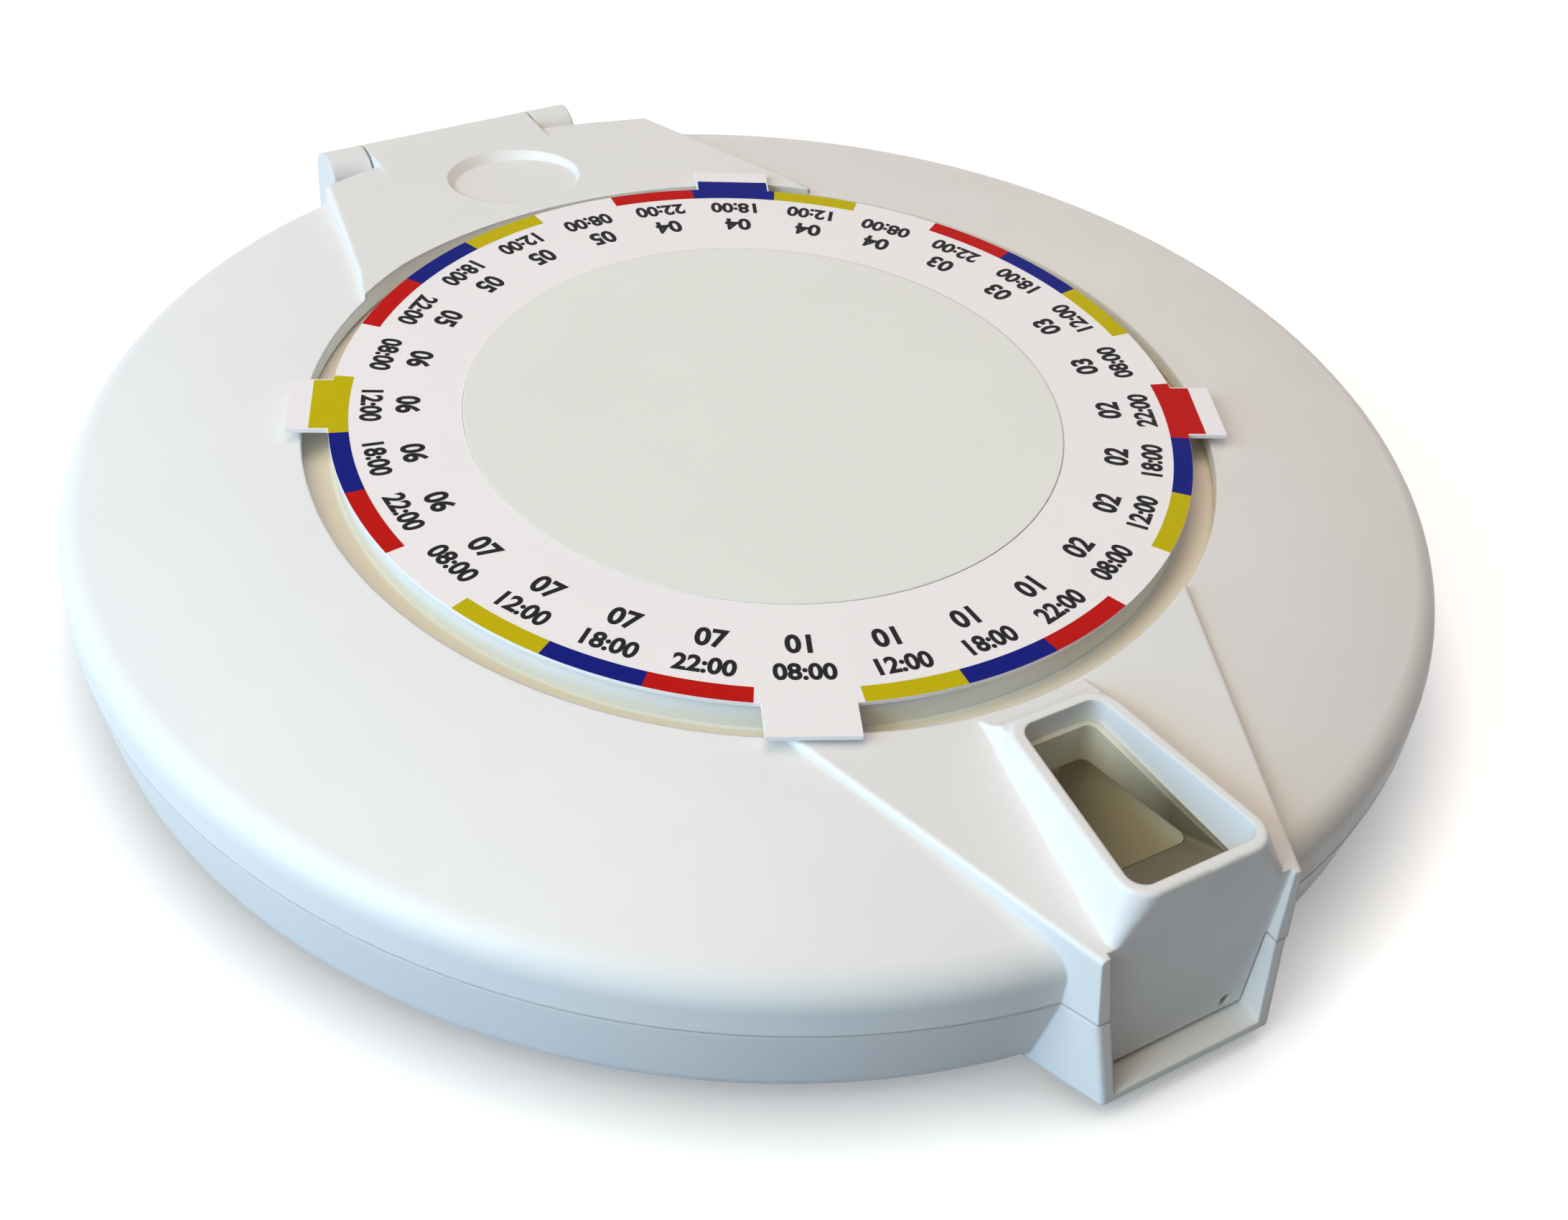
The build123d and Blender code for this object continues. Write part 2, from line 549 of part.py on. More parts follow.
def rubber_feet():
    feet = []
    for i in range(FOOT_COUNT):
        x, y = polar(FOOT_FIRST + 360 / FOOT_COUNT * i, FOOT_RING_R)
        foot = upright(FOOT_R, 0, FOOT_H + FOOT_SEAT, x, y)
        feet.append(fillet(foot.edges().group_by(Axis.Z)[0], FOOT_ROUND))
    return Compound(feet)


def hinge_pin():
    return hinge_rod(HINGE_PIN_R, KNUCKLE_HALF - HINGE_PIN_IN - HINGE_PIN_END_GAP)


# ---------------------------------------------------------------- lock
def lock_barrel():
    barrel = upright(LOCK_R, FOOT_H + LOCK_FACE_RISE, LOCK_TOP_Z - LOCK_CAM_T, 0, -LOCK_Y)
    barrel -= block(-KEYWAY_W / 2, KEYWAY_W / 2, -LOCK_Y - KEYWAY_HALF, -LOCK_Y + KEYWAY_HALF,
                    0, KEYWAY_TOP_Z)
    return barrel + upright(LOCK_PIN_R, LOCK_TOP_Z - LOCK_CAM_T, LOCK_TOP_Z + 0.4, 0, -LOCK_Y)


def lock_cam():
    """Unlocked, the cam points along +X."""
    arm = block(0, LOCK_CAM_R - LOCK_CAM_HALF, -LOCK_CAM_HALF, LOCK_CAM_HALF,
                LOCK_TOP_Z - LOCK_CAM_T, LOCK_TOP_Z)
    arm += upright(LOCK_CAM_HALF, LOCK_TOP_Z - LOCK_CAM_T, LOCK_TOP_Z, LOCK_CAM_R - LOCK_CAM_HALF)
    arm += upright(LOCK_R - 0.1, LOCK_TOP_Z - LOCK_CAM_T, LOCK_TOP_Z)
    return Pos(0, -LOCK_Y, 0) * (arm - upright(LOCK_PIN_R, 0, LOCK_TOP_Z + 1))


# ---------------------------------------------------------------- lid
def dome_section(drop):
    """Half section of the lid dome; drop lowers and insets it by the lid's thickness."""
    edge_r = LID_EDGE_R - drop * 0.35
    crest = (0, LID_OPEN_Z + LID_OPEN_R * (LID_OPEN_Z - LID_EDGE_Z) / (LID_EDGE_R - LID_OPEN_R) - drop)
    open_edge = (LID_OPEN_R, LID_OPEN_Z - drop)
    edge = (edge_r, LID_EDGE_Z - drop)
    middle = ((open_edge[0] + edge[0]) / 2, (open_edge[1] + edge[1]) / 2 + LID_CROWN)
    foot_z = LID_FOOT_Z if not drop else LID_FOOT_Z - 5
    side_r = BODY_R - drop
    crown = ThreePointArc(open_edge, middle, edge)
    shoulder = TangentArc(edge, (side_r, LID_SIDE_Z - drop), tangent=crown % 1)
    rest = Polyline((side_r, LID_SIDE_Z - drop), (side_r, foot_z), (0, foot_z),
                    (0, open_edge[1]), open_edge)
    return Rot(90, 0, 0) * make_face([crown, shoulder, rest])


def flat_prism(sign, y_in, half_in, y_out, half_out, front, drop):
    """A raised flat: its plan is a trapezoid and its top falls outward. front lists its end wall."""
    foot_z = LID_FOOT_Z if not drop else LID_FOOT_Z - 5
    start = 40.0
    side = [(sign * start, foot_z), (sign * start, flat_height(start) - drop)]
    side += [(sign * (y - drop), z - (drop if z > SEAM_Z + 5 else 0)) for y, z in front]
    profile = Plane.YZ * make_face(Polyline(*side, close=True))
    prism = extrude(profile, 60, both=True)
    reach = 12.0
    flare = (half_in - half_out) / (y_out - y_in)
    far_half = half_out - flare * reach - drop
    near_half = half_in + flare * (y_in - start) - drop
    plan = trapezoid(sign * start, near_half, sign * (y_out + reach), far_half, LID_FOOT_Z - 6)
    flat = prism & extrude(plan, LID_OPEN_Z)
    if drop:
        return flat
    top_face = flat.faces().sort_by(Axis.Z)[-1]
    flat = fillet([e for e in top_face.edges() if abs(e.center().X) > half_out / 2], FLAT_ROUND)
    # its inner corners stay under the tabs of the card
    return flat - upright(BODY_R, TAB_SWEEP_Z, flat_height(0))


def chute_flat(drop):
    end = [(CHUTE_FLAT_OUT_Y, flat_height(CHUTE_FLAT_OUT_Y)), (NOSE_SEAM_Y, LID_FOOT_Z)]
    if drop:
        end[1] = (NOSE_SEAM_Y, LID_FOOT_Z - 5)
    return flat_prism(-1, CHUTE_FLAT_IN_Y, CHUTE_FLAT_IN, CHUTE_FLAT_OUT_Y, CHUTE_FLAT_OUT, end, drop)


def hinge_flat(drop):
    end = [(HINGE_FLAT_OUT_Y + 5, flat_height(HINGE_FLAT_OUT_Y + 5)), (HINGE_FLAT_OUT_Y + 5, LID_FOOT_Z)]
    if drop:
        end[1] = (HINGE_FLAT_OUT_Y + 5, LID_FOOT_Z - 5)
    flat = flat_prism(1, HINGE_FLAT_IN_Y, HINGE_FLAT_IN, HINGE_FLAT_OUT_Y, HINGE_FLAT_OUT, end, drop)
    edge_r = HINGE_FLAT_EDGE_R - drop
    crest_r = edge_r - max(HINGE_FLAT_ROUND - drop, MERGE)
    crest_z = flat_height(crest_r) + 0.1 - drop
    side_z = crest_z - (edge_r - crest_r)
    path = [Polyline((0, LID_FOOT_Z - 6), (edge_r, LID_FOOT_Z - 6), (edge_r, side_z)),
            TangentArc((edge_r, side_z), (crest_r, crest_z), tangent=(0, 1)),
            Polyline((crest_r, crest_z), (crest_r, RIM_Z), (0, RIM_Z), (0, LID_FOOT_Z - 6))]
    return flat & revolve(Rot(90, 0, 0) * make_face(path), Axis.Z)


def face_reach(z):
    """How far the front stands out at a height. It falls in one plane from the chute rim to its foot."""
    rim_y = CHUTE_OUT_Y + RIM_T
    return FACE_FOOT_Y + (rim_y - FACE_FOOT_Y) * (z - FACE_FOOT_Z) / (RIM_Z - FACE_FOOT_Z)


def chute_outside():
    """The chute walls above the lid, and the apron that eases them into the lid opening."""
    rim = trapezoid(-CHUTE_IN_Y + RIM_T, CHUTE_IN_HALF + RIM_T, -CHUTE_OUT_Y - RIM_T,
                    CHUTE_OUT_HALF + RIM_T, RIM_Z, CHUTE_CORNER + RIM_T)
    foot = trapezoid(-CHUTE_FOOT_IN_Y, CHUTE_FOOT_IN_HALF, -face_reach(CHUTE_FOOT_Z),
                     CHUTE_FOOT_OUT_HALF, CHUTE_FOOT_Z, CHUTE_FOOT_CORNER)
    walls = loft([foot, rim])
    walls = fillet(walls.edges().group_by(Axis.Z)[-1], RIM_ROUND)
    levels = [trapezoid(-in_y, in_half, -APRON_END_Y, out_half, LID_OPEN_Z + rise)
              for rise, in_y, in_half, out_half in APRON_STEPS]
    apron = hull(levels[0], levels[1]) + hull(levels[1], levels[2])
    outside = walls - upright(LID_OPEN_R + 1.0, 0, RIM_Z + 1) + (apron - upright(LID_OPEN_R, 0, RIM_Z))
    # the tabs of the card pass over its inner end
    sweep_r = sqrt(TAB_R ** 2 + TAB_HALF ** 2) + TAB_GAP
    return outside - upright(sweep_r, TAB_SWEEP_Z, RIM_Z + 1)


def front_wall(z0, z1, gap):
    """The front between the cheeks, from one height to another."""
    levels = []
    for z in (z0, z1):
        half = cheek_room_half(z) - gap
        levels.append(trapezoid(-face_reach(z) + FACE_T, half, -face_reach(z), half, z))
    return hull(*levels)


def front_face():
    """The wall that runs down from the chute. It joins the lid's cheeks and clears those of the base."""
    top_z = CHUTE_FOOT_Z + FACE_LAP
    return front_wall(FACE_FOOT_Z, LID_FOOT_Z, CHEEK_GAP) + front_wall(LID_FOOT_Z, top_z, 0.0)


def front_space():
    """Everything ahead of the front face, between the cheeks."""
    levels = [trapezoid(-face_reach(z), cheek_room_half(z), -NOSE_FOOT_Y - OVERCUT, cheek_room_half(z), z)
              for z in (NOSE_FOOT_Z, CHUTE_FOOT_Z + 1)]
    return hull(*levels)


def chute_bore(inset, z):
    """Outline of the straight part of the bore at a height."""
    return trapezoid(-CHUTE_IN_Y - inset, CHUTE_IN_HALF - inset, -CHUTE_OUT_Y + inset,
                     CHUTE_OUT_HALF - inset, z, CHUTE_CORNER - inset)


def chute_inside(inset=0.0):
    """The chute's bore: straight down to the knee, then narrowing towards the tray at the outer end."""
    knee_z = CHUTE_KNEE_Z + inset
    fall = CHUTE_KNEE_Z - LINER_FOOT_Z
    depth = fall + FUNNEL_OVERRUN
    out_y = CHUTE_OUT_Y - (CHUTE_OUT_Y - LINER_OUT_Y) * depth / fall
    mouth = trapezoid(-CHUTE_IN_Y - inset, CHUTE_IN_HALF - inset, -out_y + inset,
                      CHUTE_OUT_HALF - inset - MOUTH_DRAFT, CHUTE_KNEE_Z - depth, CHUTE_CORNER - inset)
    knee = chute_bore(inset, knee_z)
    return loft([mouth, knee]) + loft([knee, chute_bore(inset, RIM_Z + 0.01)])


def funnel_outside():
    """The lid round the lower part of the bore."""
    mouth = trapezoid(-CHUTE_IN_Y + RIM_T, CHUTE_IN_HALF + RIM_T, -LINER_OUT_Y - RIM_T,
                      CHUTE_OUT_HALF + RIM_T, LINER_FOOT_Z)
    knee, top = [trapezoid(-CHUTE_IN_Y + RIM_T, CHUTE_IN_HALF + RIM_T, -CHUTE_OUT_Y - RIM_T + MERGE,
                           CHUTE_OUT_HALF + RIM_T, z)
                 for z in (CHUTE_KNEE_Z - FUNNEL_T, CHUTE_FOOT_Z + FUNNEL_LAP)]
    return hull(mouth, knee) + hull(knee, top)


def lid_shell():
    body = revolve(dome_section(0.0), Axis.Z)
    body += chute_flat(0.0)
    body += hinge_flat(0.0)
    room = revolve(dome_section(LID_T), Axis.Z)
    room += chute_flat(LID_T)
    room += hinge_flat(LID_T)
    room += upright(OPEN_LIP_R, LID_FOOT_Z, OPEN_LIP_Z)
    room -= ring(OPEN_LIP_R, LID_OPEN_R - 5, OPEN_LIP_Z, RIM_Z)
    body -= room
    body -= upright(LID_OPEN_R, 0, RIM_Z + 5)
    body += chute_outside() - upright(CHUTE_IN_Y - RIM_T, 0, OPEN_LIP_Z)
    # the nose is open between the cheeks, and the front face stands there
    body -= cheek_room(NOSE_FOOT_Z, CHUTE_FOOT_Z, face_reach(CHUTE_FOOT_Z) - FACE_T)
    body += front_face()
    body -= front_space()
    body += funnel_outside() - ring(CHUTE_IN_Y - RIM_T, 10, 0, OPEN_LIP_Z)
    body -= chute_inside()
    # bosses for the retainer screws
    for i in range(RETAINER_EARS):
        x, y = polar(360 / RETAINER_EARS * i, RETAINER_EAR_R)
        body += upright(SCREW_R + RETAINER_BOSS_T, RETAINER_Z + RETAINER_T, OPEN_LIP_Z - 0.8, x, y)
        body -= upright(SCREW_R, 0, OPEN_LIP_Z - 0.6, x, y)
    # hinge knuckle and the room for the base knuckles
    gap = KNUCKLE_HALF + KNUCKLE_GAP
    arm_z = HINGE_Z + HINGE_ARM_RISE
    body -= hinge_block(gap, BASE_IN_R - HINGE_NOTCH, HINGE_Y + 2 * KNUCKLE_R, 0, arm_z)
    body -= hinge_rod(KNUCKLE_R + KNUCKLE_GAP, gap)
    body += hinge_block(LID_KNUCKLE_HALF, BASE_IN_R - HINGE_ROOT - 1, HINGE_Y,
                        arm_z, HINGE_Z + KNUCKLE_R - 0.1)
    body += hinge_rod(KNUCKLE_R, LID_KNUCKLE_HALF)
    body -= hinge_rod(HINGE_PIN_R + RUN_FIT, LID_KNUCKLE_HALF + 1)
    # finger dimple
    tilt = degrees(asin(FLAT_SLOPE)) + DIMPLE_TILT
    bowl = Cone(DIMPLE_R - DIMPLE_DRAFT, DIMPLE_R + DIMPLE_DRAFT, 2 * DIMPLE_DEPTH)
    body -= Pos(DIMPLE_X, DIMPLE_Y, flat_height(DIMPLE_Y)) * Rot(-tilt, 0, 0) * bowl
    # pocket for the lock cam and the release hole in the front face
    half = sqrt(LOCK_CAM_R ** 2 - (FACE_FOOT_Y - FACE_T - LOCK_Y) ** 2) + LOCK_SLOT_GAP
    body -= block(-half, half, -LOCK_Y - LOCK_CAM_R - LOCK_SLOT_GAP, -LOCK_Y,
                  LOCK_TOP_Z - LOCK_CAM_T - LOCK_SLOT_GAP, LOCK_TOP_Z + LOCK_SLOT_GAP)
    body -= Pos(RELEASE_HOLE_X, -FACE_FOOT_Y, RELEASE_HOLE_Z) * Rot(90, 0, 0) * \
        Cylinder(RELEASE_HOLE_R, 8)
    return body


def chute_liner():
    """A thin funnel inside the chute. Its upper edge falls towards the outer end."""
    liner = chute_inside(0.02) - chute_inside(LINER_T)
    keep = Plane.YZ * make_face(Polyline(
        (-CHUTE_IN_Y + 3, LINER_FOOT_Z), (-CHUTE_IN_Y + 3, LINER_TOP_IN_Z), (-CHUTE_IN_Y, LINER_TOP_IN_Z),
        (-CHUTE_OUT_Y + 3, LINER_TOP_OUT_Z), (-CHUTE_OUT_Y - 3, LINER_TOP_OUT_Z),
        (-CHUTE_OUT_Y - 3, LINER_FOOT_Z), close=True))
    return liner & extrude(keep, 30, both=True)


def dial_retainer():
    plate = ring(CHUTE_IN_Y - RIM_T - 0.3, RETAINER_IN_R, RETAINER_Z, RETAINER_Z + RETAINER_T)
    for i in range(RETAINER_EARS):
        angle = 360 / RETAINER_EARS * i
        x, y = polar(angle, RETAINER_EAR_R)
        ear = upright(RETAINER_EAR, RETAINER_Z, RETAINER_Z + RETAINER_T, x, y)
        neck = Rot(0, 0, angle) * block(RETAINER_IN_R + 0.5, RETAINER_EAR_R, -RETAINER_EAR, RETAINER_EAR,
                                        RETAINER_Z, RETAINER_Z + RETAINER_T)
        plate += ear + neck
        plate -= upright(SCREW_R + SCREW_HOLE_GAP, 0, RIM_Z, x, y)
    return plate


def screw(x, y, head_z, length, up=True):
    """A pan head screw, with its shank above the head or, with up False, below it."""
    body = upright(SCREW_HEAD_R, -SCREW_HEAD_T, 0) + upright(SCREW_R - SCREW_THREAD_GAP, 0, length)
    slot = block(-SCREW_SLOT_HALF, SCREW_SLOT_HALF, -SCREW_SLOT_W / 2, SCREW_SLOT_W / 2,
                 -SCREW_HEAD_T, -SCREW_HEAD_T + SCREW_SLOT_T)
    body -= slot + Rot(0, 0, 90) * slot
    return Pos(x, y, head_z) * (body if up else Rot(180, 0, 0) * body)


def retainer_screws():
    screws = []
    for i in range(RETAINER_EARS):
        x, y = polar(360 / RETAINER_EARS * i, RETAINER_EAR_R)
        screws.append(screw(x, y, RETAINER_Z, RETAINER_SCREW_L))
    return Compound(screws)


# ---------------------------------------------------------------- dial
def dial_disc():
    plate_z = CARD_TOP_Z - CARD_T
    body = upright(DIAL_R, plate_z - DIAL_T, plate_z)
    body += upright(PAD_R, plate_z - 0.5, PAD_TOP_Z)
    body += ring(DIAL_R, DIAL_R - DIAL_WALL, DIAL_FLANGE_Z, plate_z)
    body += ring(DIAL_FLANGE_R, DIAL_R - DIAL_WALL, DIAL_FLANGE_Z, DIAL_FLANGE_Z + DIAL_FLANGE_T)
    for i in range(DOG_COUNT):
        dog = block(DIAL_R - 0.5, DIAL_R + DOG_REACH, -DOG_HALF, DOG_HALF,
                    TRAY_TOP_Z - DOG_DEPTH + DOG_GAP, DIAL_FLANGE_Z + 0.5)
        body += Rot(0, 0, 90 + 360 / DOG_COUNT * i) * dog
    return body


def label_card():
    card = ring(CARD_R, CARD_IN_R, CARD_TOP_Z - CARD_T, CARD_TOP_Z)
    for i in range(TAB_COUNT):
        turn = -90 + TAB_FIRST_STEP * STEP + 360 / TAB_COUNT * i
        tab = block(CARD_R - 4, TAB_R, -TAB_HALF, TAB_HALF, CARD_TOP_Z - CARD_T, CARD_TOP_Z)
        card += Rot(0, 0, turn) * tab
    return card


# ---------------------------------------------------------------- tray
def tray_hub():
    """The inner wall of the tray. Its skirt runs on the base rail and it carries the ring gear."""
    hub = ring(CELL_IN_R, TRAY_IN_R, TRAY_FLOOR_Z, TRAY_TOP_Z)
    return hub - upright(RING_R, RING_Z, TRAY_TOP_Z + 1)


def tray_floor():
    return ring(CELL_OUT_R, CELL_IN_R, TRAY_FLOOR_Z, CELL_FLOOR_Z)


def tray_rim():
    rim = ring(TRAY_R, CELL_OUT_R, TRAY_FLOOR_Z, TRAY_TOP_Z)
    return fillet(rim.edges().group_by(Axis.Z)[-1], DIVIDER_ROUND)


def tray_dividers():
    """The walls between the compartments."""
    reach = sqrt(CELL_OUT_R ** 2 - (DIVIDER_T / 2) ** 2)
    plate = block(CELL_IN_R, reach, -DIVIDER_T / 2, DIVIDER_T / 2, CELL_FLOOR_Z, TRAY_TOP_Z)
    top_edges = plate.edges().group_by(Axis.Z)[-1].filter_by(Axis.X)
    plate = fillet(top_edges, DIVIDER_ROUND)
    return Compound([Rot(0, 0, -90 + STEP * (i + 0.5)) * plate for i in range(DOSE_COUNT)])


def ring_gear():
    """The internal gear let into the tray, with slots on top for the dogs of the dial."""
    body = upright(RING_R, RING_Z, TRAY_TOP_Z)
    body -= gear_blank(RING_TEETH, RING_Z - 1, TRAY_TOP_Z, 0.0, BACKLASH / 2)
    bore_r = RING_MODULE * (RING_TEETH / 2 + DEDENDUM) + RING_BORE_GAP
    body -= upright(bore_r, RING_Z + RING_TOOTH_T, TRAY_TOP_Z + 1)
    for i in range(DOG_COUNT):
        slot = block(DIAL_R - 3, DIAL_R + DOG_REACH + DOG_GAP, -DOG_HALF - DOG_GAP, DOG_HALF + DOG_GAP,
                     TRAY_TOP_Z - DOG_DEPTH, TRAY_TOP_Z + 1)
        body -= Rot(0, 0, 90 + 360 / DOG_COUNT * i) * slot
    return body


# ---------------------------------------------------------------- drive
def drive_pinion():
    return geared_shaft(PINION_TEETH, 0.0, PINION_X, 0, CORE_FLOOR_Z + 1.2, BOARD_Z - 0.4)


def idler_gear():
    return geared_shaft(IDLER_TEETH, 180.0 / IDLER_TEETH, IDLER_X, 0, CORE_FLOOR_Z + 1.2, BOARD_Z - 1.2)


def motor_pinion():
    turn = IDLER_TURN + 180 + 180.0 / MOTOR_TEETH
    return geared_shaft(MOTOR_TEETH, turn, MOTOR_X, MOTOR_Y, GEAR_Z - 4.0, GEAR_Z + GEAR_T + 0.6)


def motor():
    can = upright(MOTOR_R, CORE_FLOOR_Z, CORE_FLOOR_Z + MOTOR_H, MOTOR_X, MOTOR_Y)
    can = fillet(can.edges().group_by(Axis.Z)[-1], 0.8)
    can -= upright(SHAFT_R + RUN_FIT, GEAR_Z - 4.4, GEAR_Z + 2, MOTOR_X, MOTOR_Y)
    return can


# ---------------------------------------------------------------- control module
def module_housing():
    wall_in = MODULE_R - MODULE_WALL
    top = MODULE_TOP_Z - FASCIA_T
    body = ring(MODULE_R, wall_in, CORE_FLOOR_Z, top)
    shelf_z = BOARD_Z - SHELF_T
    body += ring(wall_in + MERGE, wall_in - LEDGE_RING_T, shelf_z, BOARD_Z)
    body += upright(SHAFT_R + SHAFT_SLEEVE_T, shelf_z, BOARD_Z, PINION_X)
    for angle, radius in MODULE_SCREWS:
        x, y = polar(angle, radius)
        arm = Rot(0, 0, angle) * block(radius, wall_in + MERGE, -MODULE_ARM_HALF, MODULE_ARM_HALF,
                                       CORE_FLOOR_Z, MODULE_BOSS_TOP_Z)
        body += arm + upright(MODULE_BOSS_R, CORE_FLOOR_Z, MODULE_BOSS_TOP_Z, x, y)
        body -= upright(SCREW_R, 0, CORE_FLOOR_Z + MODULE_SCREW_L, x, y)
    for angle in FASCIA_SCREW_ANGLES:
        x, y = polar(angle, FASCIA_SCREW_R)
        body += upright(FASCIA_POST_R, shelf_z, top, x, y) & upright(MODULE_R, 0, 2 * top)
        body -= upright(SCREW_R, BOARD_Z + 0.4, top + 1, x, y)
    body -= upright(RING_MODULE * (PINION_TEETH / 2 + 1) + COLUMN_GAP, GEAR_Z - 1, shelf_z, PINION_X)
    body -= upright(SHAFT_R + RUN_FIT, GEAR_Z, BOARD_Z + 1, PINION_X)
    return body


def circuit_board():
    radius = MODULE_R - MODULE_WALL - BOARD_GAP
    board = upright(radius, BOARD_Z + 0.02, BOARD_Z + BOARD_T)
    for angle in FASCIA_SCREW_ANGLES:
        x, y = polar(angle, FASCIA_SCREW_R)
        board -= upright(FASCIA_POST_R + BOARD_GAP, BOARD_Z - 1, BOARD_Z + 3, x, y)
    return board


def display_panel():
    half_x = DISPLAY_X / 2 + DISPLAY_BORDER
    half_y = DISPLAY_Y / 2 + DISPLAY_BORDER
    z0 = BOARD_Z + BOARD_T
    return block(-half_x, half_x, DISPLAY_POS_Y - half_y, DISPLAY_POS_Y + half_y, z0, z0 + DISPLAY_T)


def display_lens():
    z0 = MODULE_TOP_Z - FASCIA_T
    half_x = DISPLAY_X / 2 - LENS_GAP
    half_y = DISPLAY_Y / 2 - LENS_GAP
    lens = block(-half_x, half_x, DISPLAY_POS_Y - half_y, DISPLAY_POS_Y + half_y, z0, MODULE_TOP_Z - 0.2)
    return fillet(lens.edges().filter_by(Axis.Z), DISPLAY_CORNER)


def fascia():
    z0 = MODULE_TOP_Z - FASCIA_T
    plate = upright(MODULE_R, z0, MODULE_TOP_Z)
    plate = fillet(plate.edges().group_by(Axis.Z)[-1], FASCIA_ROUND)
    window = block(-DISPLAY_X / 2, DISPLAY_X / 2, DISPLAY_POS_Y - DISPLAY_Y / 2,
                   DISPLAY_POS_Y + DISPLAY_Y / 2, z0 - 1, MODULE_TOP_Z + 1)
    plate -= fillet(window.edges().filter_by(Axis.Z), DISPLAY_CORNER)
    for x in BUTTON_XS:
        plate -= upright(BUTTON_R + BUTTON_GAP, z0 - 1, MODULE_TOP_Z + 1, x, BUTTON_POS_Y)
    plate -= upright(LIGHT_R + 0.1, z0 - 1, MODULE_TOP_Z + 1, *LIGHT_POS)
    for angle in FASCIA_SCREW_ANGLES:
        x, y = polar(angle, FASCIA_SCREW_R)
        plate -= upright(SCREW_R + SCREW_HOLE_GAP, z0 - 1, MODULE_TOP_Z + 1, x, y)
        plate -= upright(SCREW_HEAD_R + SCREW_HEAD_GAP, MODULE_TOP_Z - SCREW_HEAD_T, MODULE_TOP_Z + 1, x, y)
    return plate


def fascia_screws():
    screws = []
    for angle in FASCIA_SCREW_ANGLES:
        x, y = polar(angle, FASCIA_SCREW_R)
        screws.append(screw(x, y, MODULE_TOP_Z - SCREW_HEAD_T, FASCIA_SCREW_L, up=False))
    return Compound(screws)


def module_screws():
    screws = []
    for angle, radius in MODULE_SCREWS:
        x, y = polar(angle, radius)
        screws.append(screw(x, y, FOOT_H + SCREW_HEAD_T + SCREW_SINK, MODULE_SCREW_L))
    return Compound(screws)


def set_button(x):
    top = MODULE_TOP_Z + BUTTON_PROUD
    flange_top = MODULE_TOP_Z - FASCIA_T - 0.1
    cap = upright(BUTTON_R, flange_top - BUTTON_FLANGE_T, top, x, BUTTON_POS_Y)
    cap = fillet(cap.edges().group_by(Axis.Z)[-1], BUTTON_ROUND)
    return cap + upright(BUTTON_R + BUTTON_FLANGE, flange_top - BUTTON_FLANGE_T, flange_top,
                         x, BUTTON_POS_Y)


def alarm_light():
    z0 = BOARD_Z + BOARD_T
    body = upright(LIGHT_R, z0, MODULE_TOP_Z + 0.8, *LIGHT_POS)
    return fillet(body.edges().group_by(Axis.Z)[-1], 0.9)


def buzzer():
    body = upright(BUZZER_R, CORE_FLOOR_Z, CORE_FLOOR_Z + BUZZER_H, BUZZER_X, 0)
    return body - upright(1.2, CORE_FLOOR_Z + BUZZER_H - 1, 30, BUZZER_X, 0)


def tilt_switch():
    top = BOARD_Z - 0.05
    return upright(TILT_R, top - TILT_H, top, 0, TILT_Y)


# ---------------------------------------------------------------- batteries
def cell_ys():
    return [CELL_PITCH * (i - (CELL_COUNT - 1) / 2) for i in range(CELL_COUNT)]


def battery(y, turn):
    can = Rot(0, 90, 0) * Cylinder(CELL_R, CELL_L - NUB_H)
    can = fillet(can.edges(), CELL_ROUND)
    can = Pos(-NUB_H / 2, 0, 0) * can
    nub = Pos(CELL_L / 2 - NUB_H, 0, 0) * Rot(0, 90, 0) * Cylinder(NUB_R, 2 * NUB_H)
    return Pos(CELL_X + CELL_L / 2, y, CELL_Z) * Rot(0, 0, turn) * (can + nub)


def battery_box():
    x0 = BOX_X0 - BOX_WALL
    x1 = BOX_X1 + BOX_WALL
    half = BOX_HALF_Y + BOX_WALL
    body = block(x0, x1, -half, half, CORE_FLOOR_Z + 0.02, BOX_TOP_Z + BOX_WALL - 0.3)
    body -= block(BOX_X0, BOX_X1, -BOX_HALF_Y, BOX_HALF_Y, 0, BOX_TOP_Z)
    return body


def battery_contacts():
    """A plate at each end of each cell, with a nub for the plus end and a coil cone for the minus end."""
    pieces = []
    for i, y in enumerate(cell_ys()):
        for end in (0, 1):
            wall_x = BOX_X0 if end == 0 else BOX_X1 - CONTACT_T
            plate = block(wall_x, wall_x + CONTACT_T, y - CONTACT_HALF, y + CONTACT_HALF,
                          CELL_Z - CONTACT_HALF, CELL_Z + CONTACT_HALF)
            inward = 1 if end == 0 else -1
            reach = BOX_END_GAP - CONTACT_T - CONTACT_END_GAP
            radius = SPRING_R if (i + end) % 2 == 0 else NUB_R
            start = wall_x + (CONTACT_T if end == 0 else 0)
            bump = Pos(start + inward * reach / 2, y, CELL_Z) * Rot(0, 90, 0) * Cylinder(radius, reach)
            pieces.append(plate + bump)
    return Compound(pieces)


def battery_door():
    x0 = BOX_X0 - DOOR_LAP
    x1 = BOX_X1 + DOOR_LAP
    half = BOX_HALF_Y + DOOR_LAP
    top = FOOT_H + DOOR_T
    plate = block(x0, x1, -half, half, FOOT_H, top)
    tongue_z = top - DOOR_TONGUE_T - DOOR_GAP / 2
    tongue = block(x0, x1, -half - DOOR_TONGUE, half + DOOR_TONGUE, tongue_z, top)
    door = plate + tongue
    for i in range(GRIP_COUNT):
        x = x0 + GRIP_PITCH * (i + 2)
        door -= block(x, x + GRIP_W, -GRIP_HALF, GRIP_HALF, FOOT_H - 1, FOOT_H + GRIP_DEPTH)
    return door


